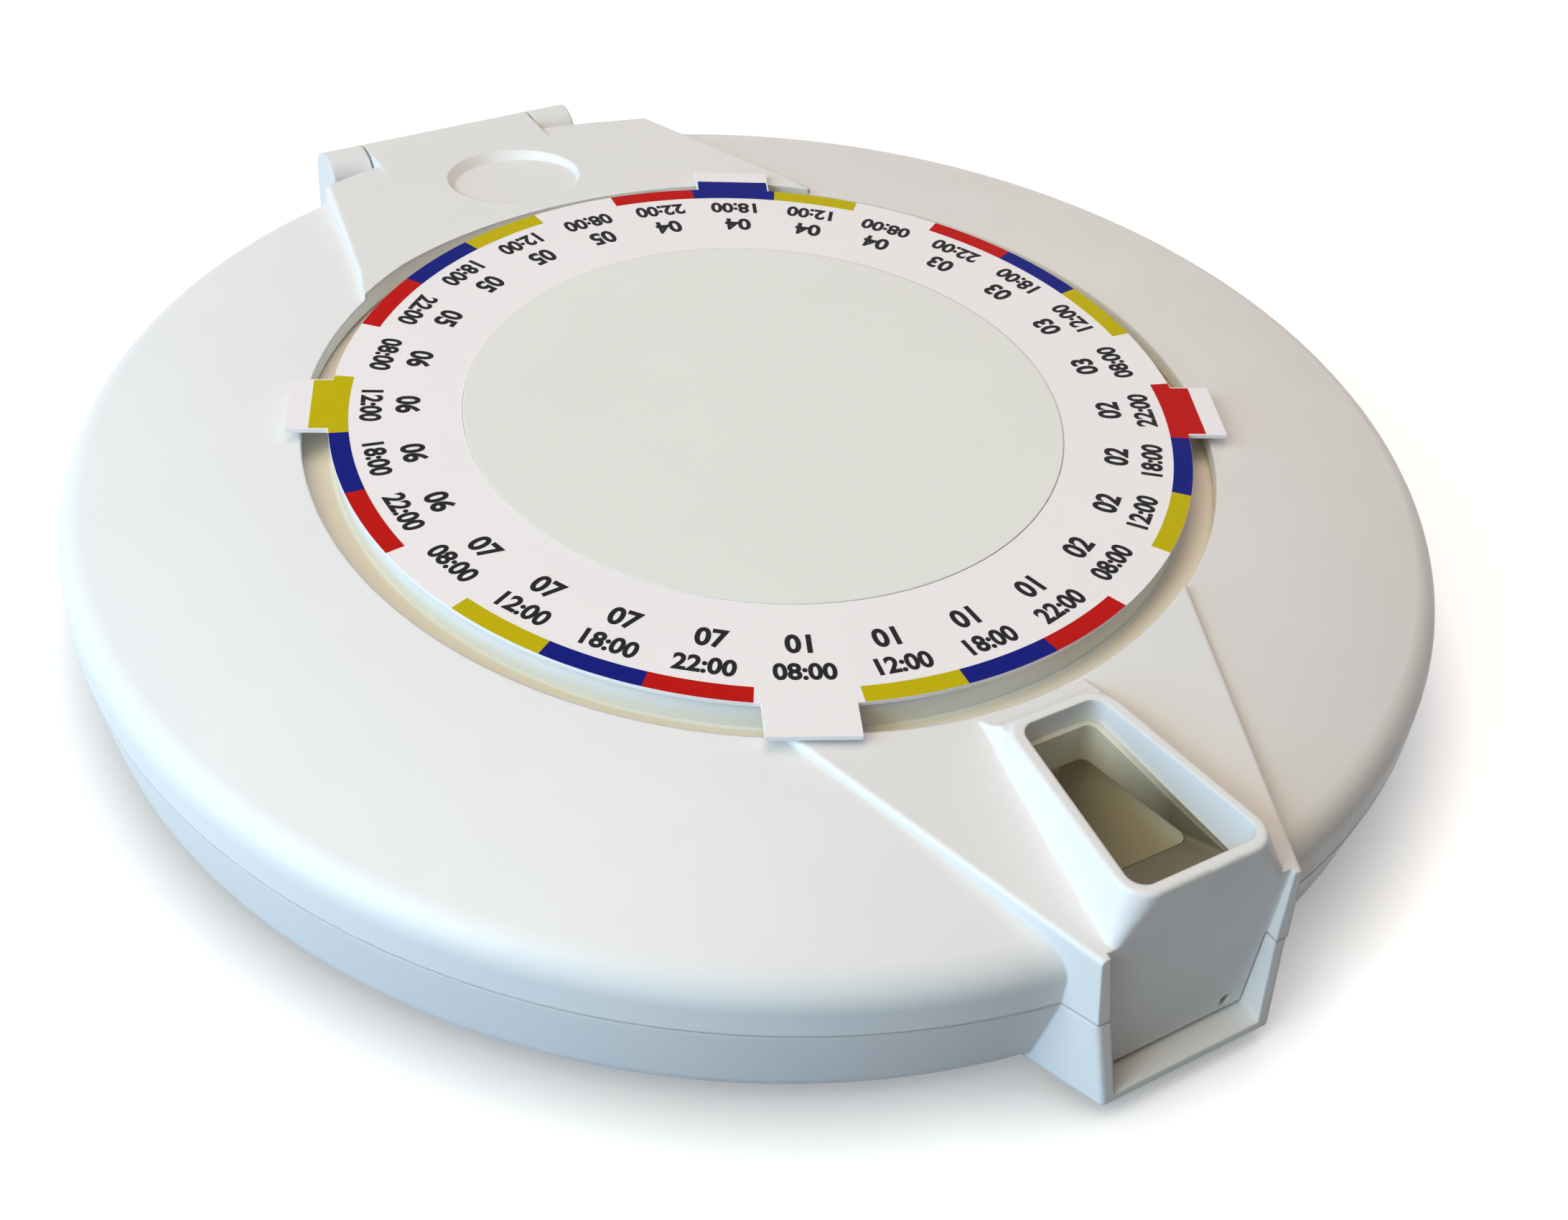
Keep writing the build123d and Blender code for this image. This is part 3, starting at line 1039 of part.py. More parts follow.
nodes = {
    "base_shell": base_shell,
    "rubber_feet": rubber_feet,
    "hinge_pin": hinge_pin,
    "lock_barrel": lock_barrel,
    "lock_cam": lock_cam,
    "lid_shell": lid_shell,
    "chute_liner": chute_liner,
    "dial_retainer": dial_retainer,
    "retainer_screws": retainer_screws,
    "dial_disc": dial_disc,
    "label_card": label_card,
    "tray_hub": tray_hub,
    "tray_floor": tray_floor,
    "tray_rim": tray_rim,
    "tray_dividers": tray_dividers,
    "ring_gear": ring_gear,
    "drive_pinion": drive_pinion,
    "idler_gear": idler_gear,
    "motor_pinion": motor_pinion,
    "motor": motor,
    "module_housing": module_housing,
    "circuit_board": circuit_board,
    "display_panel": display_panel,
    "display_lens": display_lens,
    "fascia": fascia,
    "fascia_screws": fascia_screws,
    "module_screws": module_screws,
    "alarm_light": alarm_light,
    "buzzer": buzzer,
    "tilt_switch": tilt_switch,
    "battery_box": battery_box,
    "battery_contacts": battery_contacts,
    "battery_door": battery_door,
}

os.makedirs("parts", exist_ok=True)
for name, make in nodes.items():
    export_step(make(), f"parts/{name}.step")
for name, x in zip(BUTTON_NAMES, BUTTON_XS):
    export_step(set_button(x), f"parts/{name}_button.step")
for i, y in enumerate(cell_ys()):
    export_step(battery(y, 180 * (i % 2)), f"parts/battery_{i + 1}.step")
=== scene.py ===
import json
from math import asin, cos, pi, sin

import bmesh
import bpy
from mathutils import Matrix, Vector


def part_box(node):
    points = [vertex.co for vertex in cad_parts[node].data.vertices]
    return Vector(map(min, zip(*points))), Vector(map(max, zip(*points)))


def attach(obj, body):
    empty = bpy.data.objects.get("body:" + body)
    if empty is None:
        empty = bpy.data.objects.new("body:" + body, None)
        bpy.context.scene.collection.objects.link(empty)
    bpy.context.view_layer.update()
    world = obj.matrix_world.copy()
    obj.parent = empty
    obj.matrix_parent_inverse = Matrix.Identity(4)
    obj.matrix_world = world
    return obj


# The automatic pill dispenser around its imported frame: materials, the printing on the dial card and
# on the clock module, camera, floor and lights. Lengths are in metres unless a name says _MM.

MM = 0.001

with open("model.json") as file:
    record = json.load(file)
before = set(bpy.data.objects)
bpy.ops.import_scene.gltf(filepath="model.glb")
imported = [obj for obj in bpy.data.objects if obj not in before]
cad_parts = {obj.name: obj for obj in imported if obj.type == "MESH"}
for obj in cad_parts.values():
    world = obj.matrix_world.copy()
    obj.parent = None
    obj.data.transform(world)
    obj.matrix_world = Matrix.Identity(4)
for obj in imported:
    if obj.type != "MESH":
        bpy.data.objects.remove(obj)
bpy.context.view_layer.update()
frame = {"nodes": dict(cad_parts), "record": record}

# ---- camera, fitted to the round outlines of the case in the photo ----
CAMERA_AT = Vector((-0.13024, -0.19527, 0.19787))
CAMERA_RIGHT = Vector((0.85318, -0.51578, 0.07778))
CAMERA_FORWARD = Vector((0.43392, 0.61905, -0.65459))
LENS_MM = 47.56
SENSOR_MM = 36.0

# ---- dial card ----
DOSES_A_DAY = 4
DAYS = 7
DOSES = DAYS * DOSES_A_DAY
STEP = 2 * pi / DOSES
FIRST_DOSE = -pi / 2 - 2 * STEP      # the first dose sits two steps before the chute
HOURS = ["08:00", "12:00", "18:00", "22:00"]
TABS = 4
TAB_EVERY = DOSES // TABS            # doses from one tab to the next; the first dose has a tab
BAR_IN, BAR_OUT = 56.6 * MM, 59.25 * MM
TAB_BAR_OUT = 61.6 * MM              # on a tab the bar is longer, because the tab reaches further out
TAB_BAR_HALF = 5.5 * MM
TAB_ARC_STEPS = 2                    # steps in the arc on each side of a tab
BAR_COLOURS = {                      # of the second, third and last dose of a day
    "yellow": (0.60, 0.49, 0.0),
    "blue": (0.0, 0.006, 0.20),
    "red": (0.56, 0.004, 0.002),
}
DAY_ROW, DAY_HEIGHT = 48.7 * MM, 3.4 * MM
HOUR_ROW, HOUR_HEIGHT = 53.6 * MM, 3.0 * MM

# ---- figures and ink ----
TEXT_WEIGHT = 0.035                  # the figures are bold: their outline grows by this share of their size
TEXT_SQUEEZE = 0.9                   # and a little condensed
INK_T = 0.03 * MM
WELD = 0.001 * MM                    # points of the card's figures this close together are joined
TEXT_STEPS = 4                       # steps in each curve of a figure
CIRCLE_STEPS = 48
ARC_STEPS = 12

# ---- display ----
CLOCK = "12 00"                      # the colon stands in the space
SEGMENTS = {"0": "abcdef", "1": "bc", "2": "abged", " ": ""}
DIGIT_HEIGHT = 9.5 * MM
DIGIT_WIDTH = 4.8 * MM
DIGIT_PITCH = 7.2 * MM
DIGIT_STROKE = 1.0 * MM
DIGIT_GAP = 0.3 * MM                 # a segment's tip stops this short of the next one's middle line
DIGIT_LEAN = 0.08
COLON_RISE = 1.9 * MM                # the dots are this far above and below the middle
COLON_STEPS = 16

# ---- other printing ----
TRAY_ROW, TRAY_HEIGHT = 62.85 * MM, 1.5 * MM   # compartment numbers on the inner wall of the tray
BUTTON_MARK_RISE = 7.2 * MM          # numbers of the buttons, from the middle of a button
BUTTON_MARK_HEIGHT = 2.6 * MM
BUTTON_RING_IN, BUTTON_RING_OUT = 4.7 * MM, 5.05 * MM
FRAME_GAP, FRAME_LINE = 2.2 * MM, 0.4 * MM     # printed line round the display

# ---- materials ----
# kinds of noise, each as its detail and its roughness
CLOUDY = (4.0, 0.6)                  # patches of colour or gloss
RUBBED = (5.0, 0.65)                 # worn places on a moulding
ROLLING = (1.0, 0.3)                 # sink marks
RIPPLED = (1.0, 0.4)                 # waves in clear plastic
FINE = (2.0, 0.5)                    # grain
PLAIN = (3.0, 0.5)                   # paper and printed film
BRUSHED = (3.0, 0.6)                 # marks on metal
SPECKLED = (4.0, 0.7)                # cover of ink
NOISE_LOW, NOISE_HIGH = 0.3, 0.7     # most values of a noise lie between these
EDGE_SAMPLES = 6
ACRYLIC_IOR = 1.49
NICKEL = (0.66, 0.65, 0.62)
DIAL_WALL_R = 59.1 * MM              # outside of the wall under the card; beyond it the dial is yellower
DIAL_FADE = 0.5 * MM                 # width of that change
RAMP_DARK, RAMP_LIGHT = 12.0 * MM, 22.0 * MM   # where the liner's painted shade fades, from its outer end
CELL_CAP = 1.8 * MM                  # bare metal at each end of a battery
CELL_FADE = 0.1 * MM                 # width of the edge of its sleeve
BOARD_GRID = 12 * MM                 # the board's tracks have spaces half as wide and a quarter as high
TRACK_HALF = 0.03                    # half the width of a track, as a share of that

# ---- light ----
WORLD_LEVEL = 0.05
WORLD_COLOUR = (0.96, 0.98, 1.0)
WHITE = (1, 1, 1)
FLOOR_HALF = 3.0                     # half the side of the floor
FLOOR_CELLS = 8                      # its squares along a side
FLOOR_ROUGH = 0.9
FLOOR_MOTTLE = 60 * MM
FLOOR_BOUNCE = (0.16, 0.17, 0.19)    # colour of the floor as it lights the object
FLOOR_SEEN = (0.95, 0.95, 0.95)      # and as the camera sees it
FLOOR_LIFT = 0.33                    # share of plain light that the camera sees in the floor
FLOOR_WHITE = (2.05, 2.05, 2.05)     # that light, which makes the lit floor white
CONTACT_REACH = 14 * MM              # painted contact shadow: the floor is darker this near to the object
CONTACT_FULL = 0.35                  # share of open sky at which that shade is full
CONTACT_SHADE = 0.48                 # share of its colour that the floor keeps in that painted shadow
CONTACT_SAMPLES = 8
LAMPS = [                            # name, place, side, watts, colour
    ("window_low", (-1.149, -0.060, 0.488), 0.9, 15.3, (0.40, 0.67, 1.0)),
    ("window_high", (-0.800, -0.070, 0.958), 0.9, 7.4, (1.0, 0.90, 0.50)),
    ("ceiling", (0.0, 0.217, 1.231), 0.8, 5.3, (1.0, 0.81, 0.83)),
    ("fill", (0.98, 0.57, 0.53), 0.8, 1.4, (1.0, 0.92, 0.88)),
]


# ================================================================ shader nodes

def object_coords(tree):
    """The coordinates of the object that the material is on, in metres."""
    return tree.nodes.new("ShaderNodeTexCoord").outputs["Object"]


def coordinate(tree, axis):
    """One of those coordinates: X, Y or Z."""
    parts = tree.nodes.new("ShaderNodeSeparateXYZ")
    tree.links.new(object_coords(tree), parts.inputs["Vector"])
    return parts.outputs[axis]


def new_material(name):
    """An empty node material: its tree, its shader and the coordinates of the object it is on."""
    mat = bpy.data.materials.new(name)
    mat.use_nodes = True
    tree = mat.node_tree
    return mat, tree, tree.nodes["Principled BSDF"], object_coords(tree)


def feed(tree, socket, value):
    """Gives an input its value: a number, a colour or another node's output."""
    if isinstance(value, bpy.types.NodeSocket):
        tree.links.new(value, socket)
    elif isinstance(value, tuple):
        socket.default_value = (*value, 1)
    else:
        socket.default_value = value


def worked_out(tree, operation, *values):
    """The result of a sum on one or two values."""
    node = tree.nodes.new("ShaderNodeMath")
    node.operation = operation
    for socket, value in zip(node.inputs, values):
        feed(tree, socket, value)
    return node.outputs[0]


def noise(tree, coords, size, kind, stretch=(1, 1, 1)):
    """Noise with features of the given size, in metres."""
    detail, rough = kind
    mapping = tree.nodes.new("ShaderNodeMapping")
    mapping.inputs["Scale"].default_value = [s / size for s in stretch]
    node = tree.nodes.new("ShaderNodeTexNoise")
    node.inputs["Scale"].default_value = 1.0
    node.inputs["Detail"].default_value = detail
    node.inputs["Roughness"].default_value = rough
    tree.links.new(coords, mapping.inputs["Vector"])
    tree.links.new(mapping.outputs["Vector"], node.inputs["Vector"])
    return node.outputs["Fac"]


def between(tree, value, low, high, start=NOISE_LOW, end=NOISE_HIGH):
    """The value mapped to a range."""
    node = tree.nodes.new("ShaderNodeMapRange")
    node.inputs["From Min"].default_value = start
    node.inputs["From Max"].default_value = end
    node.inputs["To Min"].default_value = low
    node.inputs["To Max"].default_value = high
    tree.links.new(value, node.inputs["Value"])
    return node.outputs["Result"]


def blended(tree, factor, first, second):
    """A colour between two others, each a colour or an output."""
    node = tree.nodes.new("ShaderNodeMix")
    node.data_type = "RGBA"
    sockets = {(socket.name, socket.type): socket for socket in node.inputs}
    feed(tree, sockets["A", "RGBA"], first)
    feed(tree, sockets["B", "RGBA"], second)
    feed(tree, sockets["Factor", "VALUE"], factor)
    return next(socket for socket in node.outputs if socket.type == "RGBA")


def shade(colour, share):
    return tuple(c * share for c in colour)


def mottled(tree, pattern, colour, dark):
    """The colour, darkened to the given share of itself where the pattern is low."""
    return blended(tree, between(tree, pattern, 0, 1), shade(colour, dark), colour)


def bump(tree, height, depth, below=None):
    """A bump whose full height is depth, in metres."""
    node = tree.nodes.new("ShaderNodeBump")
    node.inputs["Strength"].default_value = 1.0
    node.inputs["Distance"].default_value = depth
    tree.links.new(height, node.inputs["Height"])
    if below is not None:
        tree.links.new(below, node.inputs["Normal"])
    return node.outputs["Normal"]


def soft_edges(tree, radius):
    """Edges rounded by a small radius, as moulded plastic has them."""
    node = tree.nodes.new("ShaderNodeBevel")
    node.samples = EDGE_SAMPLES
    node.inputs["Radius"].default_value = radius
    return node.outputs["Normal"]


def overlaid(mat, share, colour):
    """Lays a colour over the material's own, by a share that runs from 0 to 1."""
    tree = mat.node_tree
    base = tree.nodes["Principled BSDF"].inputs["Base Color"]
    tree.links.new(blended(tree, share, base.links[0].from_socket, colour), base)
    return mat


# ================================================================ materials

def plastic(name, colour, rough=0.4, grain=0.35 * MM, depth=0.004 * MM, mottle=0.03, scuff=0.06,
            specular=0.5, edge=0.25 * MM, sizes=(28 * MM, 9 * MM, 22 * MM), sink=5):
    """Moulded plastic: fine spark-eroded grain, a faint mottle of the colour, rubbed patches and sinks.

    The sizes are those of the mottle, the rubbed patches and the sink marks, and sink is how many
    times as deep as the grain those marks are.
    """
    mat, tree, shader, coords = new_material(name)
    mottle_size, rub_size, sink_size = sizes
    patches = noise(tree, coords, mottle_size, CLOUDY)
    tree.links.new(mottled(tree, patches, colour, dark=1 - mottle), shader.inputs["Base Color"])
    wear = noise(tree, coords, rub_size, RUBBED)
    tree.links.new(between(tree, wear, rough - scuff, rough + scuff), shader.inputs["Roughness"])
    sinks = bump(tree, noise(tree, coords, sink_size, ROLLING), sink * depth, soft_edges(tree, edge))
    tree.links.new(bump(tree, noise(tree, coords, grain, FINE), depth, sinks), shader.inputs["Normal"])
    shader.inputs["Specular IOR Level"].default_value = specular
    return mat


def dial_moulding(name, colour, rim_colour):
    """The dial: a matt disc on top, and a yellower wall and flange outside the card."""
    mat = plastic(name, colour, rough=0.56, grain=0.3 * MM, depth=0.005 * MM, mottle=0.025,
                  edge=0.3 * MM, sizes=(30 * MM, 7 * MM, 25 * MM), sink=4)
    tree = mat.node_tree
    level = tree.nodes.new("ShaderNodeVectorMath")
    level.operation = "MULTIPLY"
    level.inputs[1].default_value = (1, 1, 0)    # leaves out the height
    tree.links.new(object_coords(tree), level.inputs[0])
    radius = tree.nodes.new("ShaderNodeVectorMath")
    radius.operation = "LENGTH"
    tree.links.new(level.outputs["Vector"], radius.inputs[0])
    outside = between(tree, radius.outputs["Value"], 0, 1, DIAL_WALL_R, DIAL_WALL_R + DIAL_FADE)
    return overlaid(mat, outside, rim_colour)


def chute_moulding(name, colour, shade_colour):
    """The liner of the chute, with painted shade that darkens it towards the ramp at its outer end."""
    mat = plastic(name, colour, depth=0.002 * MM)
    tree = mat.node_tree
    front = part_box("chute_liner")[0].y
    # painted shade: the liner is darker towards its outer end, where the chute lies in shade
    painted_shade = between(tree, coordinate(tree, "Y"), 1, 0, front + RAMP_DARK, front + RAMP_LIGHT)
    return overlaid(mat, painted_shade, shade_colour)


def metal(name, colour, rough=0.3, brush=(1, 1, 1), depth=0.002 * MM, smoother=0.08, rougher=0.1):
    """Metal with fine marks along the directions that brush leaves unscaled, and cloudy patches."""
    mat, tree, shader, coords = new_material(name)
    marks = noise(tree, coords, size=0.25 * MM, kind=BRUSHED, stretch=brush)
    clouds = noise(tree, coords, size=5 * MM, kind=CLOUDY)
    tree.links.new(mottled(tree, clouds, colour, dark=0.88), shader.inputs["Base Color"])
    tree.links.new(between(tree, marks, rough - smoother, rough + rougher), shader.inputs["Roughness"])
    tree.links.new(bump(tree, marks, depth), shader.inputs["Normal"])
    shader.inputs["Metallic"].default_value = 1.0
    return mat


def clear(name, colour, rough, smoother=0.7, rougher=1.4, depth=0.01 * MM):
    """Clear or tinted plastic that light goes through, with faint ripples from moulding."""
    mat, tree, shader, coords = new_material(name)
    tint = noise(tree, coords, size=6 * MM, kind=FINE)
    tree.links.new(mottled(tree, tint, colour, dark=0.94), shader.inputs["Base Color"])
    ripples = noise(tree, coords, size=8 * MM, kind=RIPPLED)
    tree.links.new(bump(tree, ripples, depth), shader.inputs["Normal"])
    gloss = noise(tree, coords, size=2 * MM, kind=CLOUDY)
    tree.links.new(between(tree, gloss, rough * smoother, rough * rougher), shader.inputs["Roughness"])
    shader.inputs["IOR"].default_value = ACRYLIC_IOR
    shader.inputs["Transmission Weight"].default_value = 1.0
    return mat


def ink(name, colour, rough=0.55, gloss=0.12, smoother=0.05, rougher=0.1, depth=0.002 * MM):
    """Printing ink: a thin film with slightly uneven cover."""
    mat, tree, shader, coords = new_material(name)
    cover = noise(tree, coords, size=0.5 * MM, kind=SPECKLED)
    tree.links.new(mottled(tree, cover, colour, dark=0.9), shader.inputs["Base Color"])
    tree.links.new(between(tree, cover, rough - smoother, rough + rougher), shader.inputs["Roughness"])
    tree.links.new(bump(tree, cover, depth), shader.inputs["Normal"])
    shader.inputs["Specular IOR Level"].default_value = gloss
    return mat


def board_laminate(name, colour, rough=0.35, depth=0.03 * MM):
    """Green laminate with copper tracks showing through the mask as a lighter grid."""
    mat, tree, shader, coords = new_material(name)
    cells = tree.nodes.new("ShaderNodeTexBrick")
    cells.inputs["Scale"].default_value = 1 / BOARD_GRID
    cells.inputs["Mortar Size"].default_value = TRACK_HALF
    for socket, share in (("Color1", 1), ("Color2", 0.8), ("Mortar", 1.7)):
        feed(tree, cells.inputs[socket], shade(colour, share))
    tree.links.new(coords, cells.inputs["Vector"])
    tree.links.new(cells.outputs["Color"], shader.inputs["Base Color"])
    tree.links.new(bump(tree, cells.outputs["Fac"], depth), shader.inputs["Normal"])
    shader.inputs["Roughness"].default_value = rough
    return mat


def battery_sleeve(name, colour, end_colour, rough=0.28, depth=0.01 * MM):
    """A plain dark sleeve, and bare metal at both ends of the batteries, which all span the same X."""
    mat, tree, shader, coords = new_material(name)
    low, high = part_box("battery_1")
    middle, reach = (high.x + low.x) / 2, (high.x - low.x) / 2
    away = worked_out(tree, "ABSOLUTE", worked_out(tree, "SUBTRACT", coordinate(tree, "X"), middle))
    at_end = between(tree, away, 0, 1, reach - CELL_CAP - CELL_FADE, reach - CELL_CAP)
    patches = noise(tree, coords, size=10 * MM, kind=PLAIN)
    sleeve = mottled(tree, patches, colour, dark=0.85)
    tree.links.new(blended(tree, at_end, sleeve, end_colour), shader.inputs["Base Color"])
    tree.links.new(at_end, shader.inputs["Metallic"])
    wrinkles = noise(tree, coords, size=3 * MM, kind=FINE)
    tree.links.new(bump(tree, wrinkles, depth), shader.inputs["Normal"])
    shader.inputs["Roughness"].default_value = rough
    return mat


def slot_materials():
    """One material for each finish that the record names."""
    return {
        "case_plastic": plastic("case_plastic", (0.82, 0.81, 0.795), rough=0.42, edge=0.5 * MM),
        "dial_plastic": dial_moulding("dial_plastic", (0.84, 0.84, 0.795), (0.74, 0.68, 0.55)),
        "card": plastic("card", (0.93, 0.895, 0.90), rough=0.5, grain=0.6 * MM, depth=0.002 * MM,
                        mottle=0.02, edge=0.1 * MM),
        # the second colour is painted shade at the outer end of the chute's liner
        "chute_plastic": chute_moulding("chute_plastic", (0.68, 0.65, 0.54), (0.165, 0.145, 0.095)),
        "tray_plastic": plastic("tray_plastic", (0.74, 0.705, 0.585), rough=0.45),
        "module_plastic": plastic("module_plastic", (0.66, 0.67, 0.67), rough=0.5, depth=0.008 * MM),
        "gear_plastic": plastic("gear_plastic", (0.74, 0.70, 0.58), rough=0.36, depth=0.002 * MM),
        "button_plastic": plastic("button_plastic", (0.10, 0.20, 0.44), rough=0.38),
        "black_plastic": plastic("black_plastic", (0.03, 0.03, 0.032), rough=0.45, depth=0.006 * MM),
        "rubber": plastic("rubber", (0.10, 0.10, 0.10), rough=0.75, grain=0.5 * MM, depth=0.02 * MM,
                          specular=0.3),
        "battery_jacket": battery_sleeve("battery_jacket", (0.05, 0.07, 0.11), NICKEL),
        "board": board_laminate("board", (0.03, 0.19, 0.07)),
        "brass": metal("brass", (0.66, 0.50, 0.25), rough=0.3),
        "contact_metal": metal("contact_metal", NICKEL, rough=0.28, brush=(1, 6, 1)),
        "motor_can": metal("motor_can", (0.58, 0.58, 0.58), rough=0.32, brush=(1, 1, 8)),
        "steel": metal("steel", (0.60, 0.60, 0.59), rough=0.25, brush=(8, 1, 1)),
        "display_film": plastic("display_film", (0.36, 0.42, 0.30), rough=0.25, depth=0.001 * MM),
        "display_glass": clear("display_glass", (0.93, 0.95, 0.93), rough=0.05),
        "light_red": clear("light_red", (0.75, 0.03, 0.02), rough=0.12),
    }


def paint_frame(materials):
    """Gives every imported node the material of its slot."""
    for part in frame["record"]["subparts"]:
        mesh = frame["nodes"][part["node"]].data
        mesh.materials.clear()
        mesh.materials.append(materials[part["material_slot"]])


# ================================================================ mesh helpers

def new_object(name, data):
    obj = bpy.data.objects.new(name, data)
    bpy.context.scene.collection.objects.link(obj)
    return obj


def mesh_object(name, bm, mat):
    """A mesh object from a bmesh, with its material."""
    mesh = bpy.data.meshes.new(name)
    bm.to_mesh(mesh)
    bm.free()
    mesh.materials.append(mat)
    return new_object(name, mesh)


def piece(name, bm, mat, body):
    """A closed piece on a body of the frame, with its material."""
    bmesh.ops.recalc_face_normals(bm, faces=bm.faces)
    obj = mesh_object(name, bm, mat)
    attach(obj, body)


def prism(bm, outline, z0, z1):
    """A closed prism over an outline of (x, y) points."""
    low = [bm.verts.new((x, y, z0)) for x, y in outline]
    high = [bm.verts.new((x, y, z1)) for x, y in outline]
    bm.faces.new(list(reversed(low)))
    bm.faces.new(high)
    for i in range(len(outline)):
        j = (i + 1) % len(outline)
        bm.faces.new((low[i], low[j], high[j], high[i]))


def band(bm, inner, outer, z0, z1):
    """A closed flat frame between two outlines with the same number of points."""
    loops = [[bm.verts.new((x, y, z)) for x, y in line]
             for line, z in ((inner, z0), (outer, z0), (outer, z1), (inner, z1))]
    for j, here in enumerate(loops):
        there = loops[(j + 1) % len(loops)]
        for i in range(len(inner)):
            k = (i + 1) % len(inner)
            bm.faces.new((here[i], here[k], there[k], there[i]))


def arc(radius, start, end, steps=ARC_STEPS):
    """Points along part of a circle."""
    angles = [start + (end - start) * i / steps for i in range(steps + 1)]
    return [(radius * cos(a), radius * sin(a)) for a in angles]


def circle(radius, steps=CIRCLE_STEPS):
    return arc(radius, 0, 2 * pi, steps)[:-1]


def turned(points, angle):
    return [(x * cos(angle) - y * sin(angle), x * sin(angle) + y * cos(angle)) for x, y in points]


def shifted(points, dx, dy):
    return [(dx + x, dy + y) for x, y in points]


def text_mesh(text, height):
    """Bold condensed figures centred on the origin, as a thin closed mesh INK_T high."""
    curve = bpy.data.curves.new("figures", "FONT")
    curve.body = text
    curve.align_x = "CENTER"
    curve.size = 1.0
    curve.offset = TEXT_WEIGHT
    curve.resolution_u = TEXT_STEPS
    curve.extrude = 0.5              # half of its thickness, which is scaled down from 1
    obj = new_object("figures", curve)
    bpy.context.view_layer.update()
    mesh = bpy.data.meshes.new_from_object(obj.evaluated_get(bpy.context.evaluated_depsgraph_get()))
    bpy.data.objects.remove(obj)
    low = min(v.co.y for v in mesh.vertices)
    high = max(v.co.y for v in mesh.vertices)
    size = height / (high - low)
    mesh.transform(Matrix.Translation((0, -(low + high) / 2, curve.extrude)))
    mesh.transform(Matrix.Diagonal((size * TEXT_SQUEEZE, size, INK_T, 1)))
    return mesh


def place_text(bm, text, height, placement):
    """Adds figures to a bmesh."""
    mesh = text_mesh(text, height)
    mesh.transform(placement)
    bm.from_mesh(mesh)
    bpy.data.meshes.remove(mesh)


# ================================================================ printing on the dial card

def facing_centre(angle, radius, z):
    """Placement of a printed mark whose top points at the dial's centre."""
    up = Vector((-cos(angle), -sin(angle), 0))
    right = Vector((-sin(angle), cos(angle), 0))
    rows = Matrix((right, up, Vector((0, 0, 1)))).transposed().to_4x4()
    return Matrix.Translation((radius * cos(angle), radius * sin(angle), z)) @ rows


def bar_outline(on_tab):
    """Outline of a bar on the +X axis. On a tab its middle reaches further out."""
    half = STEP / 2
    inner = arc(BAR_IN, half, -half)
    if not on_tab:
        return arc(BAR_OUT, -half, half) + inner
    edge = asin(TAB_BAR_HALF / BAR_OUT)
    corners = [(TAB_BAR_OUT, -TAB_BAR_HALF), (TAB_BAR_OUT, TAB_BAR_HALF)]
    before, after = arc(BAR_OUT, -half, -edge, TAB_ARC_STEPS), arc(BAR_OUT, edge, half, TAB_ARC_STEPS)
    return before + corners + after + inner


def card_bars(top):
    """Bars of three colours along the edge of the card. The first dose of a day has none."""
    for first, (name, colour) in enumerate(BAR_COLOURS.items(), 1):
        bm = bmesh.new()
        for dose in range(first, DOSES, DOSES_A_DAY):
            outline = bar_outline(on_tab=dose % TAB_EVERY == 0)
            prism(bm, turned(outline, FIRST_DOSE + dose * STEP), top, top + INK_T)
        piece(f"card_bars_{name}", bm, ink(f"ink_{name}", colour), "dial")


def card_figures(top):
    """The number of the day over the hour of the dose, for each compartment."""
    bm = bmesh.new()
    for dose in range(DOSES):
        angle = FIRST_DOSE + dose * STEP
        day = f"{dose // DOSES_A_DAY + 1:02d}"
        hour = HOURS[dose % DOSES_A_DAY]
        place_text(bm, day, DAY_HEIGHT, facing_centre(angle, DAY_ROW, top))
        place_text(bm, hour, HOUR_HEIGHT, facing_centre(angle, HOUR_ROW, top))
    bmesh.ops.remove_doubles(bm, verts=bm.verts, dist=WELD)
    piece("card_figures", bm, ink("ink_black", (0.008, 0.008, 0.010)), "dial")


# ================================================================ printing inside

def tray_figures():
    """Compartment numbers on the inner wall of the tray."""
    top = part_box("tray_hub")[1].z
    bm = bmesh.new()
    for cell in range(DOSES):
        place_text(bm, str(cell + 1), TRAY_HEIGHT,
                   facing_centre(FIRST_DOSE + cell * STEP, TRAY_ROW, top))
    piece("tray_figures", bm, ink("ink_tray", (0.03, 0.03, 0.03)), "tray")


def fascia_marks():
    """A number and a ring for each button, and a line round the display."""
    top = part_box("fascia")[1].z
    bm = bmesh.new()
    for number, name in enumerate(("hour_button", "minute_button", "alarm_button", "set_button"), 1):
        low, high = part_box(name)
        x, y = (low.x + high.x) / 2, (low.y + high.y) / 2
        place_text(bm, str(number), BUTTON_MARK_HEIGHT,
                   Matrix.Translation((x, y - BUTTON_MARK_RISE, top)))
        rings = [shifted(circle(r), x, y) for r in (BUTTON_RING_IN, BUTTON_RING_OUT)]
        band(bm, *rings, top, top + INK_T)
    low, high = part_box("display_lens")
    frames = []
    for gap in (FRAME_GAP, FRAME_GAP + FRAME_LINE):
        x0, y0, x1, y1 = low.x - gap, low.y - gap, high.x + gap, high.y + gap
        frames.append([(x0, y0), (x1, y0), (x1, y1), (x0, y1)])
    band(bm, *frames, top, top + INK_T)
    piece("fascia_marks", bm, ink("ink_fascia", (0.02, 0.05, 0.16)), "base")


def segment(half, thick, level):
    """One bar of a seven-segment figure, pointed at both ends. It leans as the figure does."""
    points = [(half, 0), (half - thick, thick), (-half + thick, thick),
              (-half, 0), (-half + thick, -thick), (half - thick, -thick)]
    if not level:
        points = [(y, x) for x, y in reversed(points)]
    return [(x + DIGIT_LEAN * y, y) for x, y in points]


